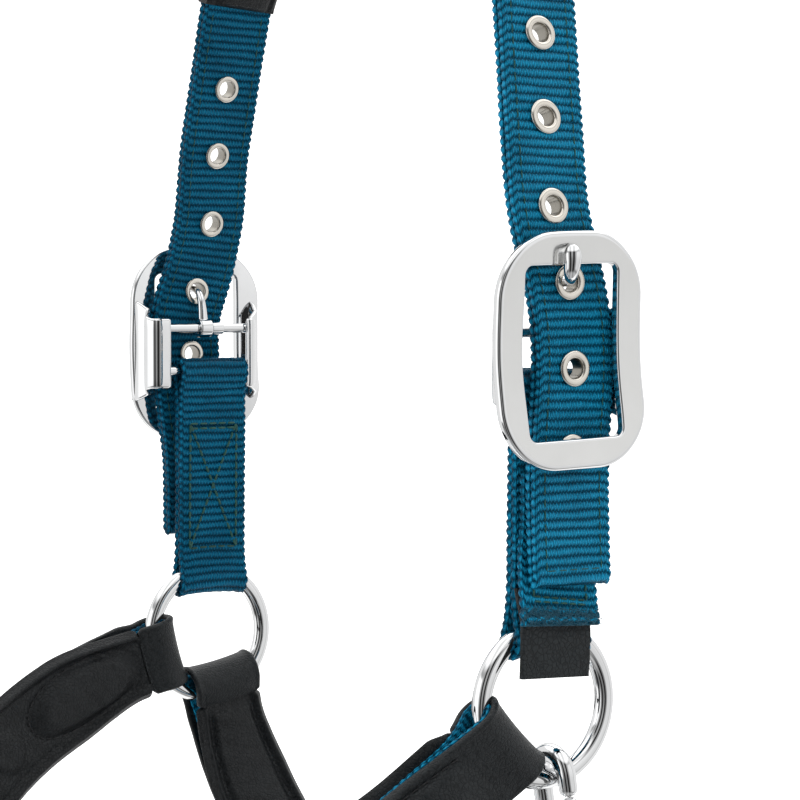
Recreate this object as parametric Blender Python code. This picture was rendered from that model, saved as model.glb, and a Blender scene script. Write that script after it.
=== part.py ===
"""Head halter for a full-size horse: two buckled crown straps, padded cheek straps,
noseband, chin straps, throat strap with a bolt snap, and the rings that join them.

Frame: origin midway between the two upper rings, +X to the rear of the head,
+Y to the far (off) side, +Z up. The near side is -Y. Lengths below are in millimetres.
"""
import math
import bpy
import bmesh
import numpy as np

for _o in list(bpy.data.objects):
    bpy.data.objects.remove(_o, do_unlink=True)

# ---------------------------------------------------------------- driving sizes (mm)
WEB = 25.0            # webbing width
T_CROWN = 4.4         # doubled crown webbing
T_LOOP = 2.2          # one layer of cheek-loop, chin and connector webbing
T_CORE = 1.8          # one layer of core webbing inside the padded straps
T_COVER = 1.6         # leather cover
T_PAD = 4.0           # lining pad
GAP = 0.15            # play between neighbouring layers

RING_R, RING_W = 21.0, 2.7       # upper and side rings: centreline radius, wire radius
LEAD_R, LEAD_W = 26.0, 3.0       # lead ring
HALF_W = 95.0                    # upper rings stand this far either side of the middle
SIDE_X, SIDE_Y, SIDE_Z = -141.0, 80.0, -85.0   # side rings at the noseband

FR_W, FR_H, FR_Z = 48.0, 64.0, 97.2            # buckle plate outside and its centre height
FR_OW, FR_OH = 31.0, 47.0                      # buckle opening
FR_IN, FR_OUT = 104.0, 108.5                   # plate back and front, distance from middle
BAR_R, BAR_Y = 2.1, 93.4                       # tongue bar and strap bar
TONGUE_Z, STRAP_Z = 102.5, 88.2
STRAP_Y = 101.0                                # crown strap centre, distance from middle
TAIL_Z, PAD_Z, TOP_Z = 34.0, 206.0, 285.0
HOLES_Z = (69.8, 92.6, 115.4, 138.2, 160.7, 182.9)
HOLE_R = 3.4

NEAR_CHEEK, FAR_CHEEK = 212.0, 194.0           # where each strap grips its ring, degrees
SNAP_A, THROAT_A = 280.0, 292.0
NOSE_A, CHIN_A, SIDE_A = 140.0, 280.0, 31.0
LINK = 125.0                                   # side ring to lead-ring pivot, ring axis to throat pivot
LINK_A = -68.0


def unit(v):
    v = np.asarray(v, float)
    return v / np.linalg.norm(v)


def pol(a):
    a = math.radians(a)
    return np.array([math.cos(a), 0.0, math.sin(a)])


Y = np.array([0.0, 1.0, 0.0])
SIDE = np.array([SIDE_X, -SIDE_Y, SIDE_Z])
CONN = unit([-SIDE_X, 0.0, -SIDE_Z])
PIV = LINK * pol(LINK_A)
LEAD_PIV = np.array([SIDE_X, 0.0, SIDE_Z]) + PIV
THROAT_PIV = PIV
LEAD_C = LEAD_PIV - LEAD_R * CONN

# ---------------------------------------------------------------- materials
MATS = {
    "webbing": (0.010, 0.115, 0.205, 0.0, 0.75),
    "webbing_far": (0.008, 0.090, 0.165, 0.0, 0.8),
    "leather": (0.018, 0.018, 0.020, 0.0, 0.45),
    "lining": (0.028, 0.027, 0.030, 0.0, 0.6),
    "chrome": (0.80, 0.80, 0.82, 1.0, 0.10),
    "nickel": (0.62, 0.57, 0.50, 1.0, 0.25),
    "spring_steel": (0.55, 0.55, 0.56, 1.0, 0.35),
}


def material(name, kind):
    r, g, b, metal, rough = MATS[kind]
    m = bpy.data.materials.new(name)
    m.use_nodes = True
    p = m.node_tree.nodes["Principled BSDF"]
    p.inputs["Base Color"].default_value = (r, g, b, 1.0)
    p.inputs["Metallic"].default_value = metal
    p.inputs["Roughness"].default_value = rough
    return m


# ---------------------------------------------------------------- mesh builders
def make(name, verts, faces, kind, mirror=False, pivot=None):
    v = np.asarray(verts, float).copy()
    if mirror:
        v[:, 1] *= -1.0
    piv = np.zeros(3) if pivot is None else np.asarray(pivot, float)
    me = bpy.data.meshes.new(name)
    me.from_pydata([tuple((p - piv) * 0.001) for p in v], [], [tuple(f) for f in faces])
    bm = bmesh.new()
    bm.from_mesh(me)
    bmesh.ops.recalc_face_normals(bm, faces=bm.faces)
    bm.to_mesh(me)
    bm.free()
    ob = bpy.data.objects.new(name, me)
    ob.location = tuple(piv * 0.001)
    bpy.context.scene.collection.objects.link(ob)
    me.materials.append(material(name, kind))
    return ob


def boolean(ob, tool, op):
    m = ob.modifiers.new("b", "BOOLEAN")
    m.operation = op
    m.solver = "EXACT"
    m.object = tool
    bpy.context.view_layer.update()
    dg = bpy.context.evaluated_depsgraph_get()
    me = bpy.data.meshes.new_from_object(ob.evaluated_get(dg))
    ob.modifiers.clear()
    ob.data = me
    bpy.data.objects.remove(tool, do_unlink=True)
    bm = bmesh.new()
    bm.from_mesh(me)
    bmesh.ops.remove_doubles(bm, verts=bm.verts, dist=2e-6)
    bmesh.ops.dissolve_degenerate(bm, edges=bm.edges, dist=2e-6)
    bm.to_mesh(me)
    bm.free()
    return ob


def tool(verts, faces, mirror=False):
    ob = make("tool", verts, faces, "chrome", mirror)
    return ob


def box(lo, hi, frame=None):
    v = []
    for x in (lo[0], hi[0]):
        for y in (lo[1], hi[1]):
            for z in (lo[2], hi[2]):
                v.append((x, y, z))
    v = np.array(v, float)
    if frame is not None:
        v = frame(v)
    f = [(0, 1, 3, 2), (4, 6, 7, 5), (0, 4, 5, 1), (2, 3, 7, 6), (0, 2, 6, 4), (1, 5, 7, 3)]
    return v, f


def revolve(profile, seg, origin, axis, start):
    """Closed profile of (radius, height) turned about an axis; radius is never zero."""
    a, b = unit(axis), unit(start)
    c = np.cross(a, b)
    v, f = [], []
    n = len(profile)
    for i in range(seg):
        t = 2 * math.pi * i / seg
        d = math.cos(t) * b + math.sin(t) * c
        for r, h in profile:
            v.append(np.asarray(origin) + r * d + h * a)
    for i in range(seg):
        k = (i + 1) % seg
        for j in range(n):
            l = (j + 1) % n
            f.append((i * n + j, k * n + j, k * n + l, i * n + l))
    return v, f


def lathe(profile, seg, origin, axis, start):
    """Open profile from axis to axis: solid turned body with end caps."""
    a, b = unit(axis), unit(start)
    c = np.cross(a, b)
    v, f = [], []
    n = len(profile)
    for i in range(seg):
        t = 2 * math.pi * i / seg
        d = math.cos(t) * b + math.sin(t) * c
        for r, h in profile:
            v.append(np.asarray(origin) + r * d + h * a)
    for i in range(seg):
        k = (i + 1) % seg
        for j in range(n - 1):
            f.append((i * n + j, k * n + j, k * n + j + 1, i * n + j + 1))
    f.append(tuple(i * n for i in range(seg)))
    f.append(tuple(i * n + n - 1 for i in range(seg - 1, -1, -1)))
    return v, f


def torus(centre, axis, start, big, small, seg=24, cs=8):
    prof = [(big + small * math.cos(2 * math.pi * j / cs), small * math.sin(2 * math.pi * j / cs))
            for j in range(cs)]
    return revolve(prof, seg, centre, axis, start)


def wire(points, radius, cs, closed=False, up=(0, 1, 0)):
    """Round rod along a polyline."""
    p = [np.asarray(q, float) for q in points]
    n = len(p)
    v, f = [], []
    u = unit(up)
    for i in range(n):
        if closed:
            t = unit(p[(i + 1) % n] - p[i - 1])
        else:
            t = unit(p[min(i + 1, n - 1)] - p[max(i - 1, 0)])
        u = unit(u - t * np.dot(u, t))
        w = np.cross(t, u)
        for j in range(cs):
            a = 2 * math.pi * (j + 0.5) / cs
            v.append(p[i] + radius * (math.cos(a) * u + math.sin(a) * w))
    for i in range(n if closed else n - 1):
        k = (i + 1) % n
        for j in range(cs):
            l = (j + 1) % cs
            f.append((i * cs + j, k * cs + j, k * cs + l, i * cs + l))
    if not closed:
        f.append(tuple(range(cs)))
        f.append(tuple((n - 1) * cs + j for j in range(cs - 1, -1, -1)))
    return v, f


def bezier(p0, p1, p2, p3, n=41):
    t = np.linspace(0, 1, n)[:, None]
    p0, p1, p2, p3 = [np.asarray(q, float) for q in (p0, p1, p2, p3)]
    return ((1 - t) ** 3) * p0 + 3 * ((1 - t) ** 2) * t * p1 + 3 * (1 - t) * t ** 2 * p2 + t ** 3 * p3


class Course:
    """Line a strap follows, with its width direction at both ends and in the middle."""

    def __init__(self, pts, widths, out0):
        self.p = np.asarray(pts, float)
        seg = np.linalg.norm(np.diff(self.p, axis=0), axis=1)
        self.s = np.concatenate([[0.0], np.cumsum(seg)])
        self.length = float(self.s[-1])
        t = np.gradient(self.p, self.s, axis=0)
        self.t = t / np.linalg.norm(t, axis=1)[:, None]
        k = np.linspace(0, self.length, len(widths))
        w = np.array([unit(q) for q in widths])
        self.w = np.stack([np.interp(self.s, k, w[:, i]) for i in range(3)], axis=1)
        n0 = np.cross(self.t[0], self.w[0])
        self.sign = 1.0 if np.dot(n0, out0) > 0 else -1.0

    def at(self, s):
        q = min(max(s, 0.0), self.length)
        c = np.array([np.interp(q, self.s, self.p[:, i]) for i in range(3)])
        t = unit([np.interp(q, self.s, self.t[:, i]) for i in range(3)])
        w = np.array([np.interp(q, self.s, self.w[:, i]) for i in range(3)])
        w = unit(w - t * np.dot(w, t))
        n = np.cross(t, w) * self.sign
        return c + t * (s - q), t, w, n


def smooth(x):
    x = min(max(x, 0.0), 1.0)
    return x * x * (3 - 2 * x)


def sag(u, big):
    return big - math.sqrt(max(big * big - u * u, 0.0)) if big else 0.0


def half_path(length, ra, rb, mid, reach_a, reach_b, na, nb, nm):
    """Upper half of a strap looped round a wire at each end: (s, n) points."""
    out = []
    a70 = math.radians(68)
    for i in range(na + 1):
        a = math.pi + (a70 - math.pi) * i / na
        out.append((ra * math.cos(a), ra * math.sin(a)))
    s0, n0 = out[-1]
    k0 = -1.0 / math.tan(a70)
    for i in range(1, 4):
        x = i / 3.0
        h = reach_a - s0
        out.append((s0 + h * x, n0 * (2 * x ** 3 - 3 * x ** 2 + 1) + h * k0 * (x ** 3 - 2 * x ** 2 + x)
                    + mid * (-2 * x ** 3 + 3 * x ** 2)))
    lo, hi = reach_a, length - reach_b
    for i in range(1, nm):
        out.append((lo + (hi - lo) * i / nm, mid))
    tail = []
    for i in range(nb + 1):
        a = math.pi + (a70 - math.pi) * i / nb
        tail.append((rb * math.cos(a), rb * math.sin(a)))
    s0, n0 = tail[-1]
    for i in range(1, 4):
        x = i / 3.0
        h = reach_b - s0
        tail.append((s0 + h * x, n0 * (2 * x ** 3 - 3 * x ** 2 + 1) + h * k0 * (x ** 3 - 2 * x ** 2 + x)
                     + mid * (-2 * x ** 3 + 3 * x ** 2)))
    out += [(length - s, n) for s, n in reversed(tail)]
    return out


def closed_path(upper):
    lower = [(s, -n) for s, n in reversed(upper[1:-1])]
    return np.array(upper + lower)


def path_normals(p):
    n = len(p)
    out = []
    for i in range(n):
        t = unit(p[(i + 1) % n] - p[i - 1])
        out.append((-t[1], t[0]))
    return np.array(out)


def band(name, course, path, thick, width, kind, sag_a=0.0, sag_b=0.0, fade=(7.0, 20.0),
         fr=(-1.0, -0.45, 0.45, 1.0), mirror=False, pivot=None):
    """Closed strap of constant thickness round the (s, n) path."""
    nor = path_normals(path)
    L = course.length
    n, m = len(path), len(fr)
    top, bot = [], []
    for (s, h), (ns, nn) in zip(path, nor):
        c, t, w, nv = course.at(s)
        wd = width(s, L)
        d3 = unit(ns * t + nn * nv)
        fa = 1 - smooth((s - fade[0]) / (fade[1] - fade[0]))
        fb = 1 - smooth((L - s - fade[0]) / (fade[1] - fade[0]))
        for f in fr:
            u = f * wd / 2
            ds = -sag(u, sag_a) * fa + sag(u, sag_b) * fb
            b = c + h * nv + u * w + ds * t
            top.append(b + d3 * thick / 2)
            bot.append(b - d3 * thick / 2)
    v = top + bot
    o = n * m
    f = []
    for i in range(n):
        k = (i + 1) % n
        for j in range(m - 1):
            f.append((i * m + j, k * m + j, k * m + j + 1, i * m + j + 1))
            f.append((o + i * m + j, o + i * m + j + 1, o + k * m + j + 1, o + k * m + j))
        f.append((i * m, o + i * m, o + k * m, k * m))
        f.append((i * m + m - 1, k * m + m - 1, o + k * m + m - 1, o + i * m + m - 1))
    return make(name, v, f, kind, mirror, pivot)


def strip(name, course, stations, low, high, width, fr, kind, mirror=False, build=True):
    """Open strap: low and high are functions (s, fraction) giving both faces."""
    n, m = len(stations), len(fr)
    top, bot = [], []
    for s in stations:
        c, t, w, nv = course.at(s)
        wd = width(s)
        for f in fr:
            b = c + f * wd / 2 * w
            top.append(b + nv * high(s, f))
            bot.append(b + nv * low(s, f))
    v = top + bot
    o = n * m
    f = []
    for i in range(n - 1):
        k = i + 1
        for j in range(m - 1):
            f.append((i * m + j, k * m + j, k * m + j + 1, i * m + j + 1))
            f.append((o + i * m + j, o + i * m + j + 1, o + k * m + j + 1, o + k * m + j))
        f.append((i * m, o + i * m, o + k * m, k * m))
        f.append((i * m + m - 1, k * m + m - 1, o + k * m + m - 1, o + i * m + m - 1))
    for i in (0, n - 1):
        for j in range(m - 1):
            f.append((i * m + j, i * m + j + 1, o + i * m + j + 1, o + i * m + j))
    if build:
        return make(name, v, f, kind, mirror)
    return v, f


# ---------------------------------------------------------------- crown strap and its sleeve
def crown_side():
    pts = []
    for z in (TAIL_Z, 58.0, 82.0, 106.0, 124.0):
        pts.append((0.0, STRAP_Y, z))
    for z in (127.0, 130.0, 133.0, 136.0, 140.0):
        k = 0.227
        y = STRAP_Y - k * (z - 126.0) ** 2 / 24.0 if z < 138.0 else STRAP_Y - 1.362 - k * (z - 138.0)
        pts.append((0.0, y if z > 126.0 else STRAP_Y, z))
    for z in (158.0, 182.0, PAD_Z):
        pts.append((0.0, STRAP_Y - 1.362 - 0.227 * (z - 138.0), z))
    p0 = np.array(pts[-1])
    b = bezier(p0, p0 + 46 * np.array([0, -0.221, 0.975]), (0, 42.0, TOP_Z), (0, 0, TOP_Z), 11)
    pts += [tuple(q) for q in b[1:]]
    out = []
    for x, y, z in pts:
        lean = 0.07 * (math.sqrt((z - 132.0) ** 2 + 60.0) + (z - 132.0)) / 2 if z > 110 else 0.0
        out.append((lean, -y, z))
    return out


_near = crown_side()
_far = [(x, -y, z) for x, y, z in reversed(_near[:-1])]
CROWN = Course(_near + _far, [(1, 0, 0), (1, 0, 0)], (0, -1, 0))


def crown_s(z):
    i = int(np.argmax(CROWN.p[:, 2]))
    return float(np.interp(z, CROWN.p[:i + 1, 2], CROWN.s[:i + 1]))


st = list(CROWN.s)
crown = strip("crown_strap", CROWN, st, lambda s, f: -T_CROWN / 2, lambda s, f: T_CROWN / 2,
              lambda s: WEB, (-1.0, 0.0, 1.0), "webbing")
hole_frames = []
for far in (False, True):
    for i, z in enumerate(HOLES_Z):
        s = crown_s(z)
        if far:
            s = CROWN.length - s
        hole_frames.append((("far" if far else "near") + "_eyelet_%d" % (i + 1),) + CROWN.at(s))
for nm, c, t, w, nv in hole_frames:
    v, f = lathe([(HOLE_R, -6.0), (HOLE_R, 6.0)], 12, c, nv, w)
    boolean(crown, tool(v, f), "DIFFERENCE")
for nm, c, t, w, nv in hole_frames:
    h0, h1 = T_CROWN / 2 + 0.1, T_CROWN / 2 + 0.5
    prof = [(2.75, -h1), (4.5, -h1), (4.5, -h0), (3.15, -h0), (3.15, h0), (4.5, h0), (4.5, h1), (2.75, h1)]
    v, f = revolve(prof, 10, c, nv, w)
    make(nm, v, f, "nickel")


def sleeve(name, course, s0, s1, n, hw, hh, iw, ih, kind):
    """Soft padded tube: flattened oval outside, flat slot for the strap inside."""
    v, f = [], []
    k = 12
    st = np.linspace(s0, s1, n)
    for i, s in enumerate(st):
        c, t, w, nv = course.at(s)
        e = min(i, n - 1 - i)
        puff = (0.72, 0.93, 1.0)[min(e, 2)]
        for j in range(k):
            a = 2 * math.pi * (j + 0.5) / k
            cx, sx = math.cos(a), math.sin(a)
            ox = hw * math.copysign(abs(cx) ** 0.6, cx)
            oy = hh * puff * math.copysign(abs(sx) ** 0.8, sx)
            v.append(c + ox * w + oy * nv)
        for j in range(k):
            a = 2 * math.pi * (j + 0.5) / k
            cx, sx = math.cos(a), math.sin(a)
            ix = iw * max(-1.0, min(1.0, cx * 1.25))
            iy = ih if sx > 0 else -ih
            if abs(sx) < 0.25:
                iy = ih * sx / 0.25
            v.append(c + ix * w + iy * nv)
    r = 2 * k
    for i in range(n - 1):
        for j in range(k):
            l = (j + 1) % k
            f.append((i * r + j, (i + 1) * r + j, (i + 1) * r + l, i * r + l))
            f.append((i * r + k + j, i * r + k + l, (i + 1) * r + k + l, (i + 1) * r + k + j))
    for i in (0, n - 1):
        for j in range(k):
            l = (j + 1) % k
            f.append((i * r + j, i * r + l, i * r + k + l, i * r + k + j))
    return make(name, v, f, kind)


sp = crown_s(PAD_Z)
sleeve("crown_pad", CROWN, sp, CROWN.length - sp, 17, 18.5, 8.0, 14.2, 3.2, "leather")

# ---------------------------------------------------------------- buckles
def rounded(w, h, r, n):
    out = []
    for cx, cz, a0 in ((w / 2 - r, h / 2 - r, 0), (-w / 2 + r, h / 2 - r, 90),
                       (-w / 2 + r, -h / 2 + r, 180), (w / 2 - r, -h / 2 + r, 270)):
        for i in range(n + 1):
            a = math.radians(a0 + 90.0 * i / n)
            out.append((cx + r * math.cos(a), cz + r * math.sin(a)))
    return out


def plate():
    outer = rounded(FR_W, FR_H, 17.0, 5)
    inner = rounded(FR_OW, FR_OH, 6.0, 5)
    n = len(outer)
    v, f = [], []
    bev = 0.9
    for ring, y, g in ((outer, FR_IN, 0.0), (outer, FR_OUT - bev, 0.0), (outer, FR_OUT, -bev),
                       (inner, FR_OUT, bev), (inner, FR_OUT - bev, 0.0), (inner, FR_IN, 0.0)):
        for x, z in ring:
            q = unit([x, z])
            v.append((x + g * q[0], -y, z + g * q[1] + FR_Z))
    for a in range(6):
        b = (a + 1) % 6
        for j in range(n):
            l = (j + 1) % n
            f.append((a * n + j, b * n + j, b * n + l, a * n + l))
    return v, f


def buckle(prefix, mirror):
    v, f = plate()
    ob = make(prefix + "_buckle_frame", v, f, "chrome", mirror)
    for sx in (-1, 1):
        lo = (sx * 17.9 - 2.0, -FR_IN - 0.5, 81.5)
        hi = (sx * 17.9 + 2.0, -BAR_Y + 3.2, 109.5)
        v, f = box(lo, hi)
        boolean(ob, tool(v, f, mirror), "UNION")
    for z in (TONGUE_Z, STRAP_Z):
        v, f = lathe([(BAR_R, -17.2), (BAR_R, 17.2)], 12, (0, -BAR_Y, z), (1, 0, 0), (0, 0, 1))
        boolean(ob, tool(v, f, mirror), "UNION")
    # tongue: knuckle round the tongue bar, rod up through an eyelet and over the top bar
    v, f = revolve([(BAR_R + 0.2, -4.5), (3.9, -4.5), (3.9, 4.5), (BAR_R + 0.2, 4.5)], 14,
                   (0, -BAR_Y, TONGUE_Z), (1, 0, 0), (0, 0, 1))
    tg = make(prefix + "_buckle_tongue", v, f, "chrome", mirror)
    pts = [(0, -93.4, 105.5), (0, -94.3, 109.6), (0, -95.3, 113.2), (0, -97.2, 115.4), (0, -99.4, 115.9),
           (0, -101.6, 116.0), (0, -104.4, 116.2), (0, -107.8, 117.2), (0, -110.4, 119.6), (0, -110.6, 122.4), (0, -110.25, 126.2)]
    v, f = wire(pts, 1.4, 8, up=(1, 0, 0))
    boolean(tg, tool(v, f, mirror), "UNION")
    # webbing loop from the strap bar down round the upper ring
    c = Course(np.linspace((0, -HALF_W, RING_R), (0, -BAR_Y, STRAP_Z), 5), [(1, 0, 0), (1, 0, 0)], (0, -1, 0))
    up = half_path(c.length, 3.75 + T_LOOP / 2, 2.45 + T_LOOP / 2, GAP + T_LOOP / 2, 16.0, 13.0, 4, 4, 3)
    band(prefix + "_cheek_loop", c, closed_path(up), T_LOOP, lambda s, L: WEB, "webbing",
         sag_a=RING_R, mirror=mirror)


buckle("near", False)
buckle("far", True)

v, f = box((-12.0, -103.3, 8.3), (12.0, -101.1, 24.4))
make("near_leather_tab", v, f, "leather")

# ---------------------------------------------------------------- rings
for nm, ctr in (("near_upper_ring", (0, -HALF_W, 0)), ("far_upper_ring", (0, HALF_W, 0)),
                ("near_side_ring", SIDE), ("far_side_ring", SIDE * (1, -1, 1))):
    v, f = torus(ctr, Y, (1, 0, 0), RING_R, RING_W)
    make(nm, v, f, "chrome", pivot=ctr)
v, f = torus(LEAD_C, np.cross(CONN, Y), CONN, LEAD_R, LEAD_W)
make("lead_ring", v, f, "chrome", pivot=LEAD_C)

# ---------------------------------------------------------------- padded straps
def core_width(s, L):
    return 21.0 + 4.0 * smooth((min(s, L - s) - 8.0) / 14.0)


def cover_width(s, L):
    return 22.0 + 8.0 * smooth((min(s, L - s) - 8.0) / 18.0)


def padded(prefix, course, sag_a, sag_b, nm, pad=True, mirror=False, eye=(3.65, 3.65)):
    up = half_path(course.length, eye[0] + T_CORE / 2, eye[1] + T_CORE / 2, GAP + T_CORE / 2, 15.0, 15.0, 4, 4, nm)
    core = closed_path(up)
    band(prefix + "_core", course, core, T_CORE, core_width, "webbing", sag_a, sag_b, mirror=mirror)
    off = T_CORE / 2 + GAP + T_COVER / 2
    cover = core + path_normals(core) * off
    band(prefix + "_cover", course, cover, T_COVER, cover_width, "leather", sag_a, sag_b, mirror=mirror)
    if pad:
        face = -(GAP + T_CORE + GAP + T_COVER + GAP + 0.1)
        st = [15.0 + (course.length - 30.0) * i / nm for i in range(1, nm)]
        s0, s1 = st[0], st[-1]

        def lo(s, f):
            e = smooth(min(s - s0, s1 - s) / 9.0)
            return face - (1.2 + (T_PAD - 1.2) * (1 - f ** 4) * (0.35 + 0.65 * e))

        def wd(s):
            e = smooth(min(s - s0, s1 - s) / 10.0)
            return 16.0 + 12.5 * e

        strip(prefix + "_lining", course, st, lo, lambda s, f: face, wd, (-1.0, -0.7, 0.0, 0.7, 1.0), "lining", mirror)


def cheek_course(ang):
    a = pol(ang)
    p0 = RING_R * a + (0, -HALF_W, 0)
    b = pol(SIDE_A)
    p3 = SIDE + RING_R * b
    pts = bezier(p0, p0 + 46 * a, p3 + 46 * b, p3, 41)
    return Course(pts, [(-a[2], 0, a[0]), (b[2], 0, -b[0])], (0, -1, 0))


padded("near_cheek", cheek_course(NEAR_CHEEK), RING_R, RING_R, 6)
padded("far_cheek", cheek_course(FAR_CHEEK), RING_R, RING_R, 6, mirror=True)

dn = pol(NOSE_A)
top = np.array([SIDE_X, 0, SIDE_Z]) + 97 * dn
p0 = SIDE + RING_R * dn
h = bezier(p0, p0 + 34 * dn, top - (0, 46, 0), top, 31)
nose = np.concatenate([h, (h * (1, -1, 1))[::-1][1:]])
wn = (-dn[2], 0, dn[0])
padded("noseband", Course(nose, [wn, wn], (0, -1, 0)), RING_R, RING_R, 14)

# chin straps: side ring down to the lead ring
dc = pol(CHIN_A)
p0 = SIDE + RING_R * dc
p3 = LEAD_C - (0, LEAD_R, 0)
pts = bezier(p0, p0 + 46 * dc, p3 - (0, 36, 0), p3, 41)
for pre, mir in (("near", False), ("far", True)):
    c = Course(pts, [(-dc[2], 0, dc[0]), CONN], (0, -1, 0))
    up = half_path(c.length, 3.8 + T_LOOP / 2, 4.25 + T_LOOP / 2, GAP + T_LOOP / 2, 16.0, 16.0, 4, 4, 6)
    band(pre + "_chin_strap", c, closed_path(up), T_LOOP, lambda s, L: WEB, "webbing",
         sag_a=RING_R, sag_b=LEAD_R, mirror=mir)

# connector strap: lead ring back to a wide keeper round the throat strap
c = Course(np.linspace(LEAD_PIV, THROAT_PIV, 9), [Y, Y], (0, 0, 1))
L = c.length
up = half_path(L, 3.75 + T_LOOP / 2, 3.0, GAP + T_LOOP / 2, 16.0, 16.0, 4, 2, 3)
up = [q for q in up if q[0] < L - 40.0]
a, b, r = 18.8, 8.7, 6.4
up += [(L - a - 15, 1.25), (L - a - 9.5, 2.6), (L - a - 3.5, 6.2), (L - a + 1.4, 8.0), (L - a + 6.5, b),
       (L - 5, b), (L + 5, b), (L + a - r, b), (L + a - r * 0.29, b - r * 0.29), (L + a, b - r), (L + a, 0.0)]
band("connector_strap", c, closed_path(up), T_LOOP, lambda s, L: WEB, "webbing", sag_a=LEAD_R)

# throat strap: far upper ring, under the jaw, to the eye of the snap
ds, df = pol(SNAP_A), pol(THROAT_A)
EYE_S = 79.0
A_NEAR = np.array([0, -HALF_W, 0])
p0 = A_NEAR + EYE_S * ds
p3 = np.array([0, HALF_W, 0]) + RING_R * df
h1 = bezier(p0, p0 + 26 * ds, THROAT_PIV - (0, 56, 0), THROAT_PIV, 31)
h2 = bezier(THROAT_PIV, THROAT_PIV + (0, 56, 0), p3 + 58 * df, p3, 31)
c = Course(np.concatenate([h1, h2[1:]]), [(-ds[2], 0, ds[0]), CONN, (-df[2], 0, df[0])], (0, -1, 0))
padded("throat", c, 0.0, RING_R, 14, pad=False, eye=(2.4, 3.65))

# ---------------------------------------------------------------- bolt snap
WX = np.array([-ds[2], 0, ds[0]])


def loc(s, y, x=0.0):
    return A_NEAR + s * ds + y * Y + x * WX


def locbox(s0, s1, y0, y1, x0, x1):
    v, f = box((s0, y0, x0), (s1, y1, x1))
    return [loc(*q) for q in v], f


pts = [loc(52, 6), loc(36, 6), loc(24, 6), loc(20, 6)]
for i in range(1, 8):
    a = math.pi * i / 8
    pts.append(loc(20 - 6 * math.sin(a), 6 * math.cos(a)))
pts += [loc(20, -6), loc(25.4, -6)]
v, f = wire(pts, 2.6, 10, up=WX)
hook = make("snap_hook", v, f, "chrome", pivot=A_NEAR)
v, f = lathe([(4.4, 35.0), (4.4, 57.0)], 16, loc(0, -6), ds, Y)
boolean(hook, tool(v, f), "UNION")
v, f = locbox(40.0, 56.0, -6.2, 6.2, -2.35, 2.35)
boolean(hook, tool(v, f), "UNION")
v, f = lathe([(5.3, 54.2), (5.3, 64.0)], 16, loc(0, 0), ds, Y)
boolean(hook, tool(v, f), "UNION")
v, f = lathe([(2.35, 33.0), (2.35, 56.0)], 12, loc(0, -6), ds, Y)
boolean(hook, tool(v, f), "DIFFERENCE")
v, f = locbox(39.0, 52.0, -13.0, -6.0, -1.5, 1.5)
boolean(hook, tool(v, f), "DIFFERENCE")
v, f = lathe([(3.75, 57.6), (3.75, 60.8), (1.95, 60.8), (1.95, 66.0)], 12, loc(0, 0), ds, Y)
boolean(hook, tool(v, f), "DIFFERENCE")

v, f = lathe([(1.5, 25.8), (2.1, 26.6), (2.1, 43.0)], 12, loc(0, -6), ds, Y)
bolt = make("snap_bolt", v, f, "chrome", pivot=A_NEAR)
v, f = lathe([(1.2, 0.5), (1.2, 5.2), (2.6, 5.2), (2.6, 7.0)], 10, loc(41.0, -6), -Y, ds)
boolean(bolt, tool(v, f), "UNION")

pts = []
for i in range(31):
    a = 2 * math.pi * 5 * i / 30
    pts.append(loc(43.6 + 11.8 * i / 30, -6 + 1.6 * math.cos(a), 1.6 * math.sin(a)))
v, f = wire(pts, 0.35, 4, up=ds)
make("snap_bolt_spring", v, f, "spring_steel")

v, f = lathe([(3.3, 58.0), (3.3, 60.4), (1.65, 60.4), (1.65, 68.0)], 12, loc(0, 0), ds, Y)
eye = make("snap_swivel_eye", v, f, "chrome", pivot=A_NEAR)
pts = []
for x, z in rounded(30.4, 11.0, 4.0, 3):
    pts.append(loc(73.5 + z, 0, x))
v, f = wire(pts, 2.0, 10, closed=True, up=Y)
boolean(eye, tool(v, f), "UNION")
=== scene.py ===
import math
import bpy
import numpy as np
from mathutils import Matrix, Vector


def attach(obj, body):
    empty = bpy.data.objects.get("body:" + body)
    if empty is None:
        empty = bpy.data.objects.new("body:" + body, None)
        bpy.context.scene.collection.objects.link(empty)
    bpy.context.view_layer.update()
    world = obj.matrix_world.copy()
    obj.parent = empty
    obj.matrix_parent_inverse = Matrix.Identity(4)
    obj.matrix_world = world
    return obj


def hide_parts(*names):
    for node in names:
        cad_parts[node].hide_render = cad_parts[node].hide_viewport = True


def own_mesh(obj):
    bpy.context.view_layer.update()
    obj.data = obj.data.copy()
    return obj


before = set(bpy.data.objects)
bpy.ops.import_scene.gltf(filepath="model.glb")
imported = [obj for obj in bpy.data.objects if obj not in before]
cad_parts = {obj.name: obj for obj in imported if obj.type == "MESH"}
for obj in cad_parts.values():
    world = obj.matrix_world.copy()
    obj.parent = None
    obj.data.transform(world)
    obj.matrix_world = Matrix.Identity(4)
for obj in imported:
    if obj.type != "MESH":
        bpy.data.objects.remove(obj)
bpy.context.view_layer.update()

COLL = bpy.context.scene.collection

# ------------------------------------------------------------------ camera
F_PX = 2559.0
AZ, EL = math.radians(-33.4), math.radians(2.0)
EYE = Vector((-0.41984, -0.65981, 0.10840))
back = Vector((math.sin(AZ) * math.cos(EL), -math.cos(AZ) * math.cos(EL), math.sin(EL)))
right = Vector((math.cos(AZ), math.sin(AZ), 0.0))
up = back.cross(right)
cd = bpy.data.cameras.new("camera")
cd.sensor_width = 36.0
cd.lens = F_PX / 800.0 * 36.0
cd.clip_start, cd.clip_end = 0.01, 50.0
cam = bpy.data.objects.new("camera", cd)
COLL.objects.link(cam)
cam.matrix_world = Matrix(((right.x, up.x, back.x, EYE.x), (right.y, up.y, back.y, EYE.y),
                           (right.z, up.z, back.z, EYE.z), (0, 0, 0, 1)))
bpy.context.scene.camera = cam

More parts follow.
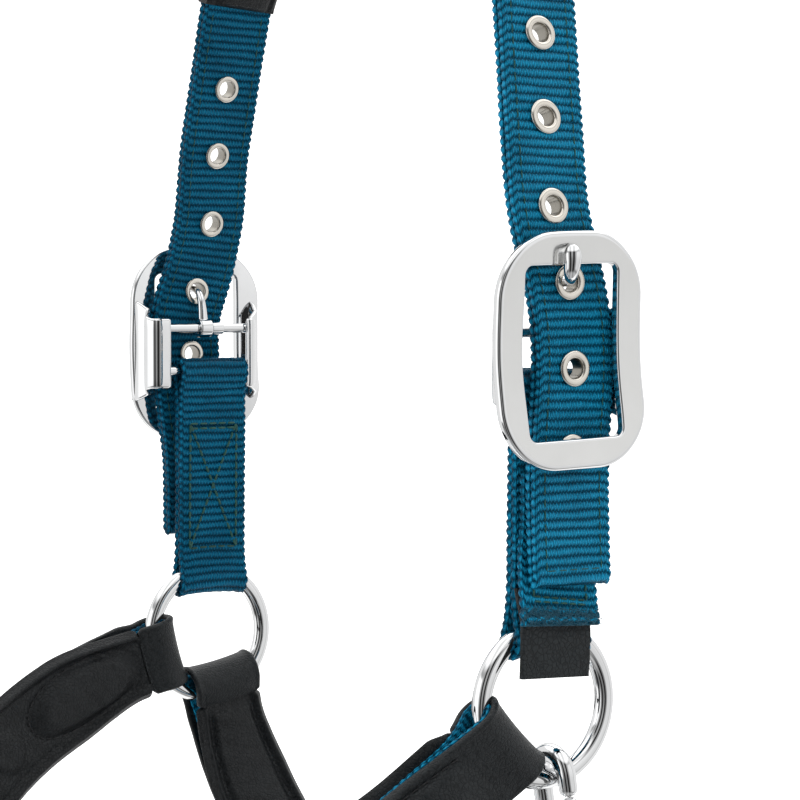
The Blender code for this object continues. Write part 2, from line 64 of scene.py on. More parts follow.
# ------------------------------------------------------------------ sizes (mm), as in the CAD
RING_R, RING_W = 21.0, 2.7
LEAD_R, LEAD_W = 26.0, 3.0
HALF_W = 95.0
SIDE = np.array([-141.0, -80.0, -85.0])
FR_Z, FR_IN, FR_OUT = 97.2, 105.4, 108.5
BAR_R, BAR_Y, TONGUE_Z, STRAP_Z = 2.1, 93.4, 102.5, 88.2
STRAP_Y, TAIL_Z, PAD_Z, TOP_Z = 101.0, 34.0, 206.0, 285.0
HOLES_Z = (69.8, 92.6, 115.4, 138.2, 160.7, 182.9)
YV = np.array([0.0, 1.0, 0.0])


def unit(v):
    v = np.asarray(v, float)
    return v / np.linalg.norm(v)


def pol(a):
    a = math.radians(a)
    return np.array([math.cos(a), 0.0, math.sin(a)])


CONN = unit([141.0, 0.0, 85.0])
PIV = 125.0 * pol(-68.0)
LEAD_PIV = np.array([-141.0, 0.0, -85.0]) + PIV
LEAD_C = LEAD_PIV - LEAD_R * CONN


def sstep(x, a, b):
    t = np.clip((np.asarray(x, float) - a) / (b - a), 0, 1)
    return t * t * (3 - 2 * t)


# ------------------------------------------------------------------ node helpers
class Nodes:
    def __init__(self, name):
        self.m = bpy.data.materials.new(name)
        self.m.use_nodes = True
        self.t = self.m.node_tree
        self.t.nodes.clear()
        self.out = self.t.nodes.new("ShaderNodeOutputMaterial")
        self.p = self.t.nodes.new("ShaderNodeBsdfPrincipled")
        self.t.links.new(self.p.outputs[0], self.out.inputs[0])

    def set(self, **k):
        for a, b in k.items():
            self.p.inputs[a.replace("_", " ")].default_value = b

    def link(self, a, b):
        self.t.links.new(a, b)

    def uv(self):
        n = self.t.nodes.new("ShaderNodeUVMap")
        n.uv_map = "UVMap"
        return n.outputs[0]

    def obj(self):
        n = self.t.nodes.new("ShaderNodeTexCoord")
        return n.outputs["Object"]

    def sep(self, v):
        n = self.t.nodes.new("ShaderNodeSeparateXYZ")
        self.link(v, n.inputs[0])
        return n.outputs

    def comb(self, x, y, z=0.0):
        n = self.t.nodes.new("ShaderNodeCombineXYZ")
        for i, q in enumerate((x, y, z)):
            if isinstance(q, (int, float)):
                n.inputs[i].default_value = q
            else:
                self.link(q, n.inputs[i])
        return n.outputs[0]

    def math(self, op, a, b=0.0, c=0.0, clamp=False):
        n = self.t.nodes.new("ShaderNodeMath")
        n.operation = op
        n.use_clamp = clamp
        for i, q in enumerate((a, b, c)):
            if isinstance(q, (int, float)):
                n.inputs[i].default_value = q
            else:
                self.link(q, n.inputs[i])
        return n.outputs[0]

    def noise(self, vec, scale, detail=3.0, rough=0.55, dist=0.0):
        n = self.t.nodes.new("ShaderNodeTexNoise")
        n.inputs["Scale"].default_value = scale
        n.inputs["Detail"].default_value = detail
        n.inputs["Roughness"].default_value = rough
        n.inputs["Distortion"].default_value = dist
        self.link(vec, n.inputs["Vector"])
        return n.outputs[0]

    def voronoi(self, vec, scale, feature="F1", rnd=1.0):
        n = self.t.nodes.new("ShaderNodeTexVoronoi")
        n.feature = feature
        n.inputs["Scale"].default_value = scale
        n.inputs["Randomness"].default_value = rnd
        self.link(vec, n.inputs["Vector"])
        return n.outputs[0]

    def ramp(self, fac, stops):
        n = self.t.nodes.new("ShaderNodeValToRGB")
        e = n.color_ramp.elements
        while len(e) < len(stops):
            e.new(0.5)
        for q, (pos, col) in zip(e, stops):
            q.position = pos
            q.color = (*col, 1.0)
        self.link(fac, n.inputs[0])
        return n.outputs[0]

    def mapr(self, v, a, b, c, d):
        n = self.t.nodes.new("ShaderNodeMapRange")
        for i, q in enumerate((a, b, c, d)):
            n.inputs[i + 1].default_value = q
        self.link(v, n.inputs[0])
        return n.outputs[0]

    def bump(self, h, dist, strength=1.0, normal=None):
        n = self.t.nodes.new("ShaderNodeBump")
        n.inputs["Distance"].default_value = dist
        n.inputs["Strength"].default_value = strength
        self.link(h, n.inputs["Height"])
        if normal is not None:
            self.link(normal, n.inputs["Normal"])
        return n.outputs[0]


PITCH = 2.5


def webbing_material(name, dark, mid, light, thread=0.58):
    """Ribbed nylon webbing. UV: x is the rib phase times the pitch, y the distance across, in mm / 100."""
    k = Nodes(name)
    uv = k.sep(k.uv())
    ph = k.math("MULTIPLY", uv[0], 100.0 / PITCH)
    u = k.math("MULTIPLY", uv[1], 100.0)
    wob = k.noise(k.comb(k.math("MULTIPLY", ph, 0.9), k.math("MULTIPLY", u, 0.8)), 1.0, 2.0)
    t = k.math("ADD", k.math("DIVIDE", u, thread), k.math("MULTIPLY", wob, 1.1))
    cord = k.math("ABSOLUTE", k.math("SINE", k.math("MULTIPLY", t, math.pi)))
    teeth = k.math("SINE", k.math("MULTIPLY", t, math.pi))
    jit = k.noise(k.comb(k.math("MULTIPLY", ph, 2.0), k.math("MULTIPLY", u, 3.1)), 1.0, 1.0)
    fr = k.math("FRACT", k.math("ADD", ph, k.math("ADD", k.math("MULTIPLY", teeth, 0.10), k.math("MULTIPLY", jit, 0.10))))
    sv = k.math("ABSOLUTE", k.math("SUBTRACT", k.math("MULTIPLY", fr, 2.0), 1.0))
    valley_shade = k.mapr(sv, 0.22, 0.97, 0.0, 1.0)
    crest = k.math("SUBTRACT", 1.0, k.math("POWER", sv, 2.0))
    fib = k.noise(k.comb(k.math("MULTIPLY", ph, 1.6), k.math("MULTIPLY", u, 7.0)), 1.0, 4.0, 0.65)
    broad = k.noise(k.obj(), 70.0, 3.0)
    h = k.math("ADD", k.math("MULTIPLY", crest, 0.55), k.math("MULTIPLY", cord, 0.5))
    h = k.math("ADD", h, k.math("MULTIPLY", fib, 0.45))
    # the colour is lighter on each thread's crown: painted highlight
    v = k.math("ADD", 0.26, k.math("MULTIPLY", k.math("POWER", cord, 0.9), 0.58))
    v = k.math("ADD", v, k.math("MULTIPLY", k.math("SUBTRACT", fib, 0.5), 1.1))
    v = k.math("ADD", v, k.math("MULTIPLY", k.math("SUBTRACT", broad, 0.5), 0.55))
    # the colour is darkened in the valleys between the ribs: painted shade
    v = k.math("MULTIPLY", v, k.math("SUBTRACT", 1.0, k.math("MULTIPLY", k.math("POWER", valley_shade, 1.3), 0.84)))
    col = k.ramp(v, [(0.03, dark), (0.5, mid), (0.95, light)])
    k.link(col, k.p.inputs["Base Color"])
    k.link(k.mapr(fib, 0.25, 0.75, 0.38, 0.6), k.p.inputs["Roughness"])
    k.set(Specular_IOR_Level=0.30, Specular_Tint=(0.02, 0.60, 1.0, 1.0))
    k.link(k.bump(h, 0.00042, 1.0), k.p.inputs["Normal"])
    return k.m


def leather_material(name, base, hi, rough=(0.36, 0.56), grain=620.0, depth=0.00009):
    k = Nodes(name)
    o = k.obj()
    warp = k.noise(o, 240.0, 2.0)
    n = k.t.nodes.new("ShaderNodeVectorMath")
    n.operation = "MULTIPLY_ADD"
    n.inputs[1].default_value = (0.0012, 0.0012, 0.0012)
    k.link(k.comb(warp, k.noise(k.comb(0.3, 0.7, 0.1), 1.0), warp), n.inputs[0])
    k.link(o, n.inputs[2])
    cell = k.voronoi(n.outputs[0], grain, "DISTANCE_TO_EDGE")
    cell2 = k.voronoi(n.outputs[0], grain * 2.3, "F1")
    fine = k.noise(o, 2600.0, 3.0)
    wear = k.noise(o, 75.0, 5.0, 0.62)
    crease = k.mapr(cell, 0.0, 0.16, 0.0, 1.0)
    h = k.math("ADD", k.math("MULTIPLY", crease, 0.75), k.math("MULTIPLY", cell2, -0.35))
    h = k.math("ADD", h, k.math("MULTIPLY", fine, 0.18))
    # the colour is darker along the grain creases and lighter on the pebble tops: painted shade and painted highlight
    v = k.math("ADD", k.math("MULTIPLY", crease, 0.42), k.math("MULTIPLY", wear, 0.62))
    k.link(k.ramp(v, [(0.22, [c * 0.45 for c in base]), (0.6, base), (0.95, hi)]), k.p.inputs["Base Color"])
    k.link(k.mapr(wear, 0.3, 0.7, rough[0], rough[1]), k.p.inputs["Roughness"])
    k.set(Specular_IOR_Level=0.30)
    low = k.bump(k.noise(o, 160.0, 3.0), 0.0006, 0.35)
    k.link(k.bump(h, depth, 0.9, low), k.p.inputs["Normal"])
    return k.m


def metal_material(name, col, rough, streak=0.02, bump=0.00001):
    k = Nodes(name)
    o = k.obj()
    n = k.noise(o, 90.0, 4.0, 0.6)
    f = k.noise(o, 1500.0, 2.0)
    k.link(k.ramp(n, [(0.3, [c * 0.94 for c in col]), (0.75, col)]), k.p.inputs["Base Color"])
    k.link(k.mapr(n, 0.3, 0.75, rough, rough + streak), k.p.inputs["Roughness"])
    k.set(Metallic=1.0)
    k.link(k.bump(f, bump, 0.12), k.p.inputs["Normal"])
    return k.m


def thread_material(name, col, hi):
    k = Nodes(name)
    uv = k.sep(k.uv())
    tw = k.math("ADD", k.math("MULTIPLY", uv[0], 100.0), k.math("MULTIPLY", uv[1], 6.0))
    s = k.math("ABSOLUTE", k.math("SINE", k.math("MULTIPLY", tw, 9.0)))
    # the colour is darker in the grooves between the plies and lighter on their crowns: painted shade and painted
    # highlight
    k.link(k.ramp(s, [(0.0, [c * 0.5 for c in col]), (0.5, col), (1.0, hi)]), k.p.inputs["Base Color"])
    k.link(k.mapr(s, 0.0, 1.0, 0.65, 0.45), k.p.inputs["Roughness"])
    k.link(k.bump(s, 0.00005, 0.8), k.p.inputs["Normal"])
    return k.m


M_WEB = webbing_material("webbing_near", (0.0003, 0.0060, 0.012), (0.0022, 0.066, 0.124), (0.0072, 0.165, 0.285))
# darker copy of the same webbing for the far side: painted shade
M_WEB_SHADE = webbing_material("webbing_painted_shade", (0.0003, 0.0050, 0.010), (0.0014, 0.038, 0.078), (0.0042, 0.095, 0.170))
M_LEA = leather_material("black_leather", (0.0036, 0.0050, 0.0060), (0.0100, 0.0120, 0.0130), (0.30, 0.46), 950.0, 0.00013)
M_PAD = leather_material("soft_black_leather", (0.0030, 0.0040, 0.0048), (0.0090, 0.0105, 0.0115), (0.32, 0.48), 900.0, 0.00015)
M_GRAIN = leather_material("pebbled_black_leather", (0.0034, 0.0056, 0.0068), (0.0100, 0.0130, 0.0145), (0.46, 0.62), 700.0, 0.00018)
M_CHR = metal_material("polished_chrome", (0.80, 0.805, 0.81), 0.045)
M_FACE = metal_material("brushed_face_chrome", (0.77, 0.77, 0.76), 0.20, 0.05)
M_NIC = metal_material("warm_nickel", (0.76, 0.72, 0.65), 0.14, 0.06)
# darker nickel for the inside of the eyelet barrels: painted shade in the holes
M_NIC_SHADE = metal_material("nickel_barrel_painted_shade", (0.36, 0.34, 0.30), 0.24, 0.12, 0.00002)
M_SPR = metal_material("spring_wire", (0.5, 0.5, 0.51), 0.3, 0.1)
M_GRN = thread_material("green_thread", (0.0020, 0.026, 0.021), (0.0065, 0.068, 0.052))
M_BLK = thread_material("black_thread", (0.004, 0.004, 0.0045), (0.016, 0.016, 0.017))
M_FUZ = thread_material("loose_blue_fibre", (0.0022, 0.040, 0.070), (0.006, 0.085, 0.135))


# ------------------------------------------------------------------ mesh helpers
def add(name, verts, faces, mat, uv=None, mirror=False, body=None, rep=(), smooth=True):
    v = np.asarray(verts, np.float64).reshape(-1, 3) * 0.001
    f = np.asarray(faces, np.int64)
    if mirror:
        v = v * (1, -1, 1)
        f = f[:, ::-1]
        uv = None if uv is None else uv[:, ::-1]
    me = bpy.data.meshes.new(name)
    me.vertices.add(len(v))
    me.vertices.foreach_set("co", v.ravel())
    k = f.shape[1]
    me.loops.add(f.size)
    me.loops.foreach_set("vertex_index", f.ravel().astype(np.int32))
    me.polygons.add(len(f))
    me.polygons.foreach_set("loop_start", (np.arange(len(f)) * k).astype(np.int32))
    me.update(calc_edges=True)
    me.validate()
    if uv is not None and len(me.loops) == f.size:
        l = me.uv_layers.new(name="UVMap")
        l.data.foreach_set("uv", np.ascontiguousarray(uv, dtype=np.float32).ravel())
    me.polygons.foreach_set("use_smooth", np.full(len(me.polygons), smooth))
    me.materials.append(mat)
    ob = bpy.data.objects.new(name, me)
    COLL.objects.link(ob)
    if body:
        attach(ob, body)
    if rep:
        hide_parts(*rep)
    return ob


def grid(V, a, u, closed_i, closed_j, cap=True, drop=None):
    """V (N, M, 3), a along (N or N+1 long), u (N, M) across -> verts, quads, uv in mm/100."""
    N, M = V.shape[:2]
    ni, nj = (N if closed_i else N - 1), (M if closed_j else M - 1)
    i, j = np.meshgrid(np.arange(ni), np.arange(nj), indexing="ij")
    i2, j2 = (i + 1) % N, (j + 1) % M
    q = np.stack([i * M + j, i2 * M + j, i2 * M + j2, i * M + j2], -1).reshape(-1, 4)
    a = np.asarray(a, float)
    if a.ndim == 1:
        if len(a) == N:
            a = np.append(a, a[-1] + (a[-1] - a[-2]))
        a = np.broadcast_to(a[:, None], (len(a), M))
    A00, A10, A11, A01 = a[i, j], a[i + 1, j], a[i + 1, j2], a[i, j2]
    uu = u if u.ndim == 2 else np.broadcast_to(u, (N, M))
    U = np.stack([np.stack([A00, uu[i, j]], -1), np.stack([A10, uu[i2, j]], -1),
                  np.stack([A11, uu[i2, j2]], -1), np.stack([A01, uu[i, j2]], -1)], -2).reshape(-1, 4, 2) / 100.0
    if drop is not None:
        keep = ~(drop[i, j] & drop[i2, j] & drop[i2, j2] & drop[i, j2]).reshape(-1)
        q, U = q[keep], U[keep]
    if cap and not closed_i and closed_j:
        for row in (0, N - 1):
            jj = np.arange(M // 2 - 1)
            b = row * M
            c = np.stack([b + jj, b + jj + 1, b + M - 2 - jj, b + M - 1 - jj], -1)
            if row == 0:
                c = c[:, ::-1]
            cu = np.stack([np.full(c.shape, a[row, 0]), uu.reshape(-1)[c]], -1) / 100.0
            q = np.concatenate([q, c])
            U = np.concatenate([U, cu])
    return V.reshape(-1, 3), q, U


def resample(P, step, closed=False, n=None):
    P = np.asarray(P, float)
    Q = np.vstack([P, P[:1]]) if closed else P
    s = np.concatenate([[0], np.cumsum(np.linalg.norm(np.diff(Q, axis=0), axis=1))])
    L = s[-1]
    n = n or max(int(round(L / step)), 4)
    t = np.linspace(0, L, n + 1)
    if closed:
        t = t[:-1]
    return np.stack([np.interp(t, s, Q[:, k]) for k in range(Q.shape[1])], 1), t, L


def bezier(p0, p1, p2, p3, n=61):
    t = np.linspace(0, 1, n)[:, None]
    p0, p1, p2, p3 = [np.asarray(q, float) for q in (p0, p1, p2, p3)]
    return ((1 - t) ** 3) * p0 + 3 * ((1 - t) ** 2) * t * p1 + 3 * (1 - t) * t ** 2 * p2 + t ** 3 * p3


class Course:
    """Centre line of a strap with tangent, width and outward directions."""

    def __init__(self, pts, widths, out0, twist=None, level=0.0):
        p, s, L = resample(pts, 1.0)
        self.p, self.s, self.length = p, s, L
        t = np.gradient(p, s, axis=0)
        for _ in range(4):
            t[1:-1] = (t[:-2] + 2 * t[1:-1] + t[2:]) / 4
        self.t = t / np.linalg.norm(t, axis=1)[:, None]
        k = np.linspace(0, L, len(widths))
        w = np.array([unit(q) for q in widths])
        w = np.stack([np.interp(s, k, w[:, i]) for i in range(3)], 1)
        w0 = w.copy()
        w -= self.t * np.sum(w * self.t, 1)[:, None]
        w /= np.linalg.norm(w, axis=1)[:, None]
        n = np.cross(self.t, w)
        if np.dot(n[0], out0) < 0:
            n = -n
        if level:
            # the weave stays level where the strap is pulled sideways
            w = w * (1 - level) + w0 * level
            w /= np.linalg.norm(w, axis=1)[:, None]
        if twist is not None:
            a = np.radians(twist(s, L))[:, None]
            w, n = w * np.cos(a) + n * np.sin(a), n * np.cos(a) - w * np.sin(a)
        self.w, self.n = w, n

    def at(self, s):
        s = np.asarray(s, float)
        q = np.clip(s, 0, self.length)
        g = lambda arr: np.stack([np.interp(q, self.s, arr[:, i]) for i in range(3)], -1)
        t = g(self.t)
        t /= np.linalg.norm(t, axis=-1, keepdims=True)
        w = g(self.w)
        w /= np.linalg.norm(w, axis=-1, keepdims=True)
        n = g(self.n)
        n /= np.linalg.norm(n, axis=-1, keepdims=True)
        return g(self.p) + t * (s - q)[..., None], t, w, n


def sagv(u, big):
    return big - np.sqrt(np.maximum(big * big - u * u, 0)) if big else np.zeros_like(u)


class Line:
    """A layer's own line: a 2D path (s, n) laid on a course, with positions for (along, across, out)."""

    def __init__(self, course, path, step, closed=False, sag=(0, 0), fade=(7.0, 20.0), n=None, sagk=1.0):
        q, a, L = resample(path, step, closed, n)
        self.a, self.length, self.closed = a, L, closed
        if closed:
            d = np.roll(q, -1, 0) - np.roll(q, 1, 0)
        else:
            d = np.gradient(q, axis=0)
        nor = np.stack([-d[:, 1], d[:, 0]], 1)
        for _ in range(3):
            if closed:
                nor = (np.roll(nor, 1, 0) + 2 * nor + np.roll(nor, -1, 0)) / 4
            else:
                nor[1:-1] = (nor[:-2] + 2 * nor[1:-1] + nor[2:]) / 4
        nor /= np.linalg.norm(nor, axis=1)[:, None]
        c, t, w, nv = course.at(q[:, 0])
        self.s, self.h = q[:, 0], q[:, 1]
        self.P = c + q[:, 1:2] * nv
        self.T, self.W = t, w
        self.D = nor[:, :1] * t + nor[:, 1:] * nv
        self.D /= np.linalg.norm(self.D, axis=1)[:, None]
        self.fa = (1 - sstep(self.s, *fade)) * sagk
        self.fb = (1 - sstep(course.length - self.s, *fade)) * sagk
        self.sag = sag

    def pos(self, u, v):
        """u, v arrays (N, M)."""
        ds = -sagv(u, self.sag[0]) * self.fa[:, None] + sagv(u, self.sag[1]) * self.fb[:, None]
        return (self.P[:, None] + u[..., None] * self.W[:, None] + v[..., None] * self.D[:, None]
                + ds[..., None] * self.T[:, None])

    def point(self, a, u, v):
        """Single positions at distances a along."""
        a, u, v = [np.asarray(x, float) for x in (a, u, v)]
        g = lambda arr: np.stack([np.interp(a, self.a, arr[:, i]) for i in range(3)], -1)
        fa, fb = np.interp(a, self.a, self.fa), np.interp(a, self.a, self.fb)
        ds = -sagv(u, self.sag[0]) * fa + sagv(u, self.sag[1]) * fb
        return g(self.P) + u[..., None] * g(self.W) + v[..., None] * g(self.D) + ds[..., None] * g(self.T)


def half_path(L, ra, rb, mid, reach_a, reach_b, fine=14):
    out = []
    a70 = math.radians(68)
    def eye(r, reach):
        e = [(r * math.cos(math.pi + (a70 - math.pi) * i / fine), r * math.sin(math.pi + (a70 - math.pi) * i / fine))
             for i in range(fine + 1)]
        s0, n0 = e[-1]
        k0 = -1.0 / math.tan(a70)
        h = reach - s0
        for i in range(1, fine + 1):
            x = i / fine
            e.append((s0 + h * x, n0 * (2 * x ** 3 - 3 * x ** 2 + 1) + h * k0 * (x ** 3 - 2 * x ** 2 + x)
                      + mid * (-2 * x ** 3 + 3 * x ** 2)))
        return e
    A, B = eye(ra, reach_a), eye(rb, reach_b)
    nm = max(int((L - reach_a - reach_b) / 2.0), 3)
    m = [(reach_a + (L - reach_a - reach_b) * i / nm, mid) for i in range(1, nm)]
    return A + m + [(L - s, n) for s, n in reversed(B)]


def closed_path(upper):
    return np.array(upper + [(s, -n) for s, n in reversed(upper[1:-1])])


# ------------------------------------------------------------------ webbing
def rib_height(phase):
    s = np.abs(2 * (phase - np.floor(phase)) - 1)
    return np.power(np.clip(1 - s * s, 0, 1), 0.95)


def webbing(name, line, hw, ht, mat, body, rep=(), A=0.62, B=0.66, nface=24, nedge=5, holes=(), mirror=False,
            grooves=True, phase0=0.0, fray=0.0):
    """One layer of ribbed webbing with woven edges, as a closed solid skin."""
    N = len(line.a)
    k = line.length / PITCH
    pit = line.length / max(round(k), 1) if line.closed else PITCH
    fr = np.linspace(-1, 1, nface)
    ue = hw - ht
    us = list(fr * ue)
    top = [(x, ht, 0.0, 1.0, 0) for x in us]
    ang = np.linspace(math.pi / 2, -math.pi / 2, nedge + 2)[1:-1]
    right_e = [(ue + ht * math.cos(t), ht * math.sin(t), math.cos(t), math.sin(t), 1) for t in ang]
    bot = [(x, -ht, 0.0, -1.0, 0) for x in reversed(us)]
    left_e = [(-ue - ht * math.cos(t), -ht * math.sin(t), -math.cos(t), -math.sin(t), 1) for t in ang]
    cs = np.array(top + right_e + bot + left_e)
    U0, V0, NU, NV, ED = cs.T
    arow = np.append(line.a, line.length if line.closed else 2 * line.a[-1] - line.a[-2])
    a = arow[:, None]
    au = np.abs(U0)[None]
    # the outer ribs slant down into the edge, and the edge itself is a row of knots
    slant = np.clip(au - 11.0, 0, None) * 0.4 + ED[None] * (0.9 * (np.abs(V0[None]) / ht))
    ph = (a + slant) / pit + phase0 + 0.03 * np.sin(a * 0.9 + U0[None] * 0.5) + 0.035 * np.sin(a * 0.31 + U0[None] * 0.23 + 1.1)
    PH = ph
    a, ph = a[:N], ph[:N]
    crest = rib_height(ph)
    disp = -A * (1 - crest) * (1 - ED[None])
    disp = disp + ED[None] * (B * (rib_height(ph + 0.25) - 0.62))
    # ribs bunch a little towards the edges
    disp = disp + (1 - ED[None]) * 0.10 * np.exp(-((au - 11.2) / 0.7) ** 2)
    disp = disp + 0.05 * np.sin(a * 7.1 + U0[None] * 3.3) + 0.035 * np.sin(a * 2.13 + U0[None] * 1.7 + 1.0)
    if grooves:
        g = np.exp(-((au - 9.3) / 0.45) ** 2) * (1 - ED[None])
        disp = disp - 0.22 * g * (0.35 + 0.65 * crest)
    if fray:
        fz = sstep(a, line.length - fray, line.length - fray + 1.2)
        disp = disp + fz * (0.28 * np.sin(a * 5.3 + U0[None] * 4.1) * np.sin(U0[None] * 2.3 + a * 1.9) + 0.22)
    U = U0[None] + NU[None] * disp
    V = V0[None] + NV[None] * disp
    U = np.broadcast_to(U, (N, len(cs))).copy()
    V = np.broadcast_to(V, (N, len(cs))).copy()
    U = U + 0.12 * np.sin(a / 17.0 + 0.6) + 0.06 * np.sin(a / 5.3)
    drop = None
    if len(holes):
        drop = np.zeros(U.shape, bool)
        for ha, hu in holes:
            dx, dy = np.broadcast_to(a - ha, U.shape), U - hu
            r = np.hypot(dx, dy)
            face = (ED[None] == 0) & np.ones_like(drop)
            V = V - np.where(face, np.sign(V) * 0.28 * np.exp(-((r - 4.4) / 1.6) ** 2), 0)
            drop |= face & (r < 3.25)
        for ha, hu in holes:
            dx, dy = np.broadcast_to(a - ha, U.shape), U - hu
            r = np.hypot(dx, dy)
            sc = np.where((r < 3.25) & (r > 1e-6) & (ED[None] == 0), 3.25 / np.maximum(r, 1e-6), 1)
            U = hu + (U - hu) * sc
            V = np.where(sc > 1, np.sign(V0)[None] * (ht - 0.45), V)
    pos = line.pos(U, V)
    v, q, uvs = grid(pos, PH * PITCH, np.broadcast_to(U0[None], U.shape), line.closed, True, drop=drop)
    used = np.zeros(len(v), bool)
    used[q.ravel()] = True
    idx = np.cumsum(used) - 1
    return add(name, v[used], idx[q], mat, uvs, mirror, body, rep)


def stitches(name, line, runs, mat, body, length=2.9, gap=0.5, r=0.2, mirror=False, lift=0.05):
    """Rows of thread: runs is a list of (a0, u0, a1, u1, v) in the line's own distances."""
    vs, qs, us = [], [], []
    base = 0
    na, nc = 7, 6
    for a0, u0, a1, u1, v in runs:
        d = math.hypot(a1 - a0, u1 - u0)
        n = max(int(d / (length + gap)), 1)
        for i in range(n):
            t0, t1 = i / n, (i + 1) / n - gap / d
            t = np.linspace(t0, t1, na)
            k = np.linspace(0, 1, na)
            aa, uu = a0 + (a1 - a0) * t, u0 + (u1 - u0) * t
            sg = 1 if np.mean(v) >= 0 else -1
            hh = v + sg * (lift - 0.42 * (np.abs(2 * k - 1) ** 5))
            P = line.point(aa, uu, hh)
            T = np.gradient(P, axis=0)
            T /= np.linalg.norm(T, axis=1)[:, None]
            D = line.point(aa, uu, hh + 1.0) - P
            D /= np.linalg.norm(D, axis=1)[:, None]
            S = np.cross(T, D)
            ang = np.linspace(0, 2 * np.pi, nc, endpoint=False)
            rr = r * np.sqrt(np.clip(1 - (np.abs(2 * k - 1) * 0.93) ** 4, 0.05, 1))
            ring = P[:, None] + rr[:, None, None] * (np.cos(ang)[None, :, None] * D[:, None] + np.sin(ang)[None, :, None] * S[:, None])
            v_, q_, u_ = grid(ring, aa + 0.01 * np.arange(na), np.broadcast_to(ang[None] * 3, (na, nc)), False, True)
            vs.append(v_)
            qs.append(q_ + base)
            us.append(u_)
            base += len(v_)
    return add(name, np.concatenate(vs), np.concatenate(qs), mat, np.concatenate(us), mirror, body, ())


# ------------------------------------------------------------------ leather panels
def panel(name, line, hw, top, bot, mat, body, rep=(), nf=33, mirror=False, edge=1.0):
    """Leather or padded piece on a line: hw (N), top(f, a) and bot(f, a) heights either side of the line."""
    N = len(line.a)
    f = np.sin(np.linspace(-1, 1, nf) * math.pi / 2)
    F = np.broadcast_to(f[None], (N, nf))
    H = np.broadcast_to(np.asarray(hw, float).reshape(-1, 1), (N, nf))
    a = np.broadcast_to(line.a[:, None], (N, nf))
    Tt, Bb = top(F, H, a), bot(F, H, a)
    mid = (Tt + Bb) / 2
    e = np.clip((1 - np.abs(F)) * H / np.maximum(edge, 1e-3), 0, 1)
    rd = np.sqrt(np.clip(1 - (1 - e) ** 2, 0, 1))
    Tt = mid + (Tt - mid) * rd
    Bb = mid + (Bb - mid) * rd
    Tt[:, 0] = Tt[:, -1] = mid[:, 0] + 0.02
    U = F * H
    VT, VB = line.pos(U, Tt), line.pos(U, Bb)
    V = np.concatenate([VT, VB[:, ::-1]], 1)
    UU = np.concatenate([U, U[:, ::-1]], 1)
    v, q, uvs = grid(V, np.append(line.a, line.length if line.closed else 2 * line.a[-1] - line.a[-2]), UU, line.closed, True)
    return add(name, v, q, mat, uvs, mirror, body, rep)


def rod(name, pts, r, mat, body, rep=(), closed=False, nc=16, upv=(0, 1, 0), mirror=False, caps=True, ru=1.0, rw=1.0):
    """Round wire; ru and rw scale its half width along upv and across it, point by point."""
    P = np.asarray(pts, float)
    N = len(P)
    T = (np.roll(P, -1, 0) - np.roll(P, 1, 0)) if closed else np.gradient(P, axis=0)
    T /= np.linalg.norm(T, axis=1)[:, None]
    u = unit(upv)
    Us = []
    for i in range(N):
        u = unit(u - T[i] * np.dot(u, T[i]))
        Us.append(u)
    Us = np.array(Us)
    Ws = np.cross(T, Us)
    ang = np.linspace(0, 2 * np.pi, nc, endpoint=False) + np.pi / nc
    a_u = r * np.broadcast_to(ru, (N,))
    a_w = r * np.broadcast_to(rw, (N,))
    V = P[:, None] + (a_u[:, None] * np.cos(ang)[None])[..., None] * Us[:, None] + (a_w[:, None] * np.sin(ang)[None])[..., None] * Ws[:, None]
    v, q, uvs = grid(V, np.arange(N + 1) * 1.0, np.broadcast_to(ang[None], (N, nc)), closed, True, cap=caps)
    return add(name, v, q, mat, uvs, mirror, body, rep)


def turned(profile, seg, origin, axis, start, closed=False):
    a, b = unit(axis), unit(start)
    c = np.cross(a, b)
    t = np.linspace(0, 2 * np.pi, seg, endpoint=False)
    pr = np.asarray(profile, float)
    d = np.cos(t)[:, None] * b + np.sin(t)[:, None] * c
    V = np.asarray(origin) + pr[None, :, 0:1] * d[:, None] + pr[None, :, 1:2] * a
    n = len(pr)
    i, j = np.meshgrid(np.arange(seg), np.arange(n if closed else n - 1), indexing="ij")
    i2, j2 = (i + 1) % seg, (j + 1) % n
    q = np.stack([i * n + j, i * n + j2, i2 * n + j2, i2 * n + j], -1).reshape(-1, 4)
    return V.reshape(-1, 3), q


def turn(name, profile, origin, axis, start, mat, body, rep=(), seg=64, closed=True, mirror=False):
    v, q = turned(profile, seg, origin, axis, start, closed)
    return add(name, v, q, mat, None, mirror, body, rep)


def ring_profile(R, r, n=28):
    t = np.linspace(0, 2 * np.pi, n, endpoint=False)
    return [(R + r * math.cos(x), r * math.sin(x)) for x in t]


def round_profile(pts, r, n=4):
    """Rounds the corners of a closed (radius, height) profile."""
    out = []
    m = len(pts)
    P = [np.array(p, float) for p in pts]
    for i in range(m):
        a, b, c = P[i - 1], P[i], P[(i + 1) % m]
        d0, d1 = unit(a - b), unit(c - b)
        k = min(r, np.linalg.norm(a - b) * 0.45, np.linalg.norm(c - b) * 0.45)
        p0, p1 = b + d0 * k, b + d1 * k
        for t in np.linspace(0, 1, n):
            out.append((1 - t) ** 2 * p0 + 2 * t * (1 - t) * b + t * t * p1)
    return [tuple(q) for q in out]


# ================================================================== crown strap
def crown_y(z):
    z = np.asarray(z, float)
    return np.where(z < 126, STRAP_Y, np.where(z < 138, STRAP_Y - 0.227 * (z - 126.0) ** 2 / 24.0,
                                               STRAP_Y - 1.362 - 0.227 * (z - 138.0)))


